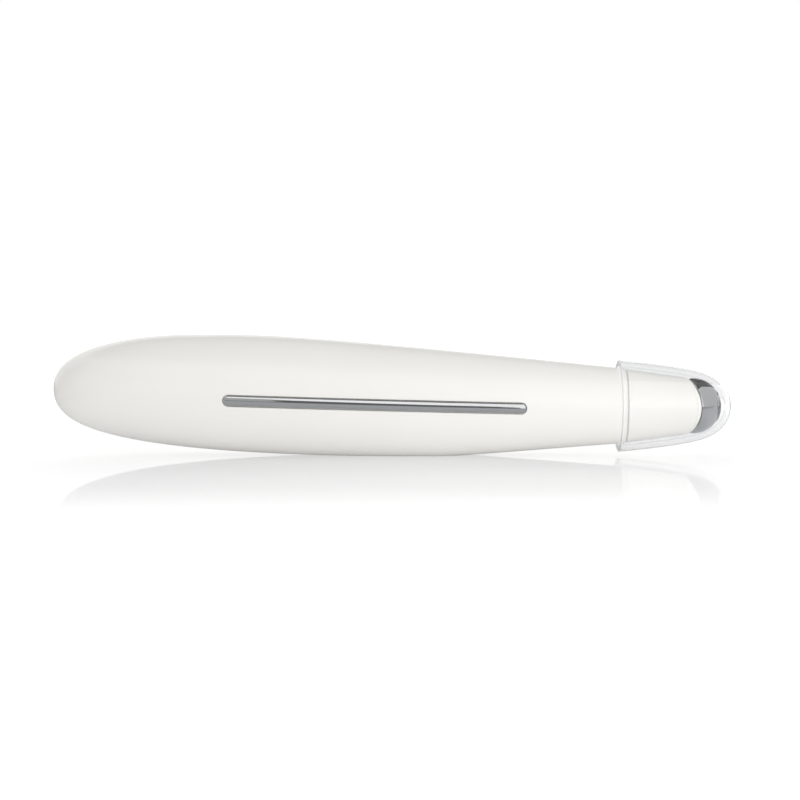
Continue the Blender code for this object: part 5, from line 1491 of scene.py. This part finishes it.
# Painted reflection: where polished metal sees the table, its glow is off and its colour is a painted grey, lighter
# near the pen and darker away from it.
acrylic.set("Emission Strength", glow * (1 - metal_ray))
grey = acrylic.blend(course(aside, PAINTED_REFLECTION_REACH), NEAR_PAINTED_REFLECTION, FAR_PAINTED_REFLECTION)
acrylic.set("Base Color", acrylic.blend(metal_ray, (FLOOR_GREY, FLOOR_GREY, FLOOR_GREY), grey))
polish = acrylic.add("ShaderNodeBsdfGlossy", {}, {"Roughness": POLISH_ROUGHNESS})
fade = course(aside, MIRROR_REACH, ends=(MIRROR_SHARE, 0.0), kind="SMOOTHSTEP")
surface = acrylic.add("ShaderNodeMixShader", {}, [fade * camera_ray])
acrylic.tree.links.new(acrylic.shader.outputs[0], surface.link.node.inputs[1])
acrylic.tree.links.new(polish.link, surface.link.node.inputs[2])
acrylic.tree.links.new(surface.link, acrylic.tree.nodes["Material Output"].inputs["Surface"])
floor = finished("table_top", floor_mesh, acrylic.material)


# Light: a white tent, with one soft box beside the camera, on its right, and a weak one behind the pen. Painted
# reflections: glowing sheets, black over and behind the pen, grey on its right, darker by the lens and lighter grey
# on the left, show their grey only in polished metal, and elsewhere they glow near white.
TENT = 0.755
SOFT_BOXES = {
    "right_box": ((0.25, -0.33, 0.09), (0.27, 0.18), 0.58),
    "back_box": ((-0.05, 0.5, 0.35), (0.6, 0.4), 1.3),
}
CARD_DISTANCE = 0.9
# How much of a sheet's painted reflection grey shows in bare metal, outside the cap.
BARE_SHARES = {"grey_reflection_sheet": -0.06}
CARD_STEPS = 32
CLEAR_GREY = 0.97
# Each sheet: its painted reflection grey, and (azimuth from the camera's side, lowest and highest elevation) along
# it, in degrees
CARDS = {
    "black_reflection_sheet": (
        0.0,
        [(-180, 24, 90), (-90, 62, 90), (0, 66, 90), (90, 62, 90), (143, 16, 90), (160, 20, 90), (180, 24, 90)],
    ),
    "grey_reflection_sheet": (0.47, [(38, -2, 61), (90, -2, 61), (143, -2, 15)]),
    "lens_side": (0.13, [(-4, -2, 34), (5, -2, 30), (16, -2, 24)]),
    "left_side": (0.4, [(-110, -2, 50), (-4, -2, 40)]),
}


def tent(world):
    """White world, at full white where it is seen directly, in polish or through clear plastic."""
    world.use_nodes = True
    tree = world.node_tree
    paths = tree.nodes.new("ShaderNodeLightPath")
    total = paths.outputs["Is Camera Ray"]
    for name in ("Is Glossy Ray", "Is Transmission Ray"):
        larger = tree.nodes.new("ShaderNodeMath")
        larger.operation = "MAXIMUM"
        tree.links.new(total, larger.inputs[0])
        tree.links.new(paths.outputs[name], larger.inputs[1])
        total = larger.outputs[0]
    strength = tree.nodes.new("ShaderNodeMapRange")
    strength.inputs["To Min"].default_value = TENT
    strength.inputs["To Max"].default_value = 1.0
    tree.links.new(total, strength.inputs["Value"])
    tree.nodes["Background"].inputs["Color"].default_value = (1.0, 1.0, 1.0, 1.0)
    tree.links.new(strength.outputs[0], tree.nodes["Background"].inputs["Strength"])
    return world


bpy.context.scene.world = tent(bpy.data.worlds.new("white_tent"))

for name, (place, size, watts) in SOFT_BOXES.items():
    lamp = bpy.data.lights.new(name, "AREA")
    lamp.shape = "RECTANGLE"
    lamp.size, lamp.size_y = size
    lamp.energy = watts
    box = bpy.data.objects.new(name, lamp)
    bpy.context.scene.collection.objects.link(box)
    box.location = place
    box.rotation_euler = (Vector(CAMERA_TARGET) - Vector(place)).to_track_quat("-Z", "Y").to_euler()
    box.visible_glossy = False
    box.visible_transmission = False

# Painted reflections: each sheet glows with its grey where polished metal sees it, and with CLEAR_GREY wherever else
# it is seen, through clear plastic too.
for name, (grey, stations) in CARDS.items():
    azimuths, lows, highs = zip(*stations)
    loops = []
    for azimuth in np.linspace(azimuths[0], azimuths[-1], CARD_STEPS + 1):
        low, high = np.interp(azimuth, azimuths, lows), np.interp(azimuth, azimuths, highs)
        turn = math.radians(azimuth)
        loop = []
        for elevation in np.radians(np.linspace(low, high, CARD_STEPS + 1)):
            flat = CARD_DISTANCE * math.cos(elevation)
            up = HEAD_AXIS_HEIGHT + CARD_DISTANCE * math.sin(elevation)
            loop.append((flat * math.sin(turn), -flat * math.cos(turn), up))
        loops.append(loop)
    mesh = bmesh.new()
    rows = [[mesh.verts.new(point) for point in loop] for loop in loops]
    for first, second in zip(rows, rows[1:]):
        for i in range(CARD_STEPS):
            mesh.faces.new((first[i], first[i + 1], second[i + 1], second[i]))
    sheet_finish = Finish(name, (0.0, 0.0, 0.0), 1.0)
    sheet_finish.set("Specular IOR Level", 0.0)
    sheet_finish.set("Emission Color", (1.0, 1.0, 1.0, 1.0))
    seen = in_metal(sheet_finish, BARE_SHARES.get(name, 1))
    sheet_finish.set("Emission Strength", CLEAR_GREY + (grey - CLEAR_GREY) * seen)
    card = finished(name, mesh, sheet_finish.material)
    card.visible_camera = False
    card.visible_diffuse = False
    card.visible_shadow = False

bpy.context.scene.view_settings.view_transform = "Standard"
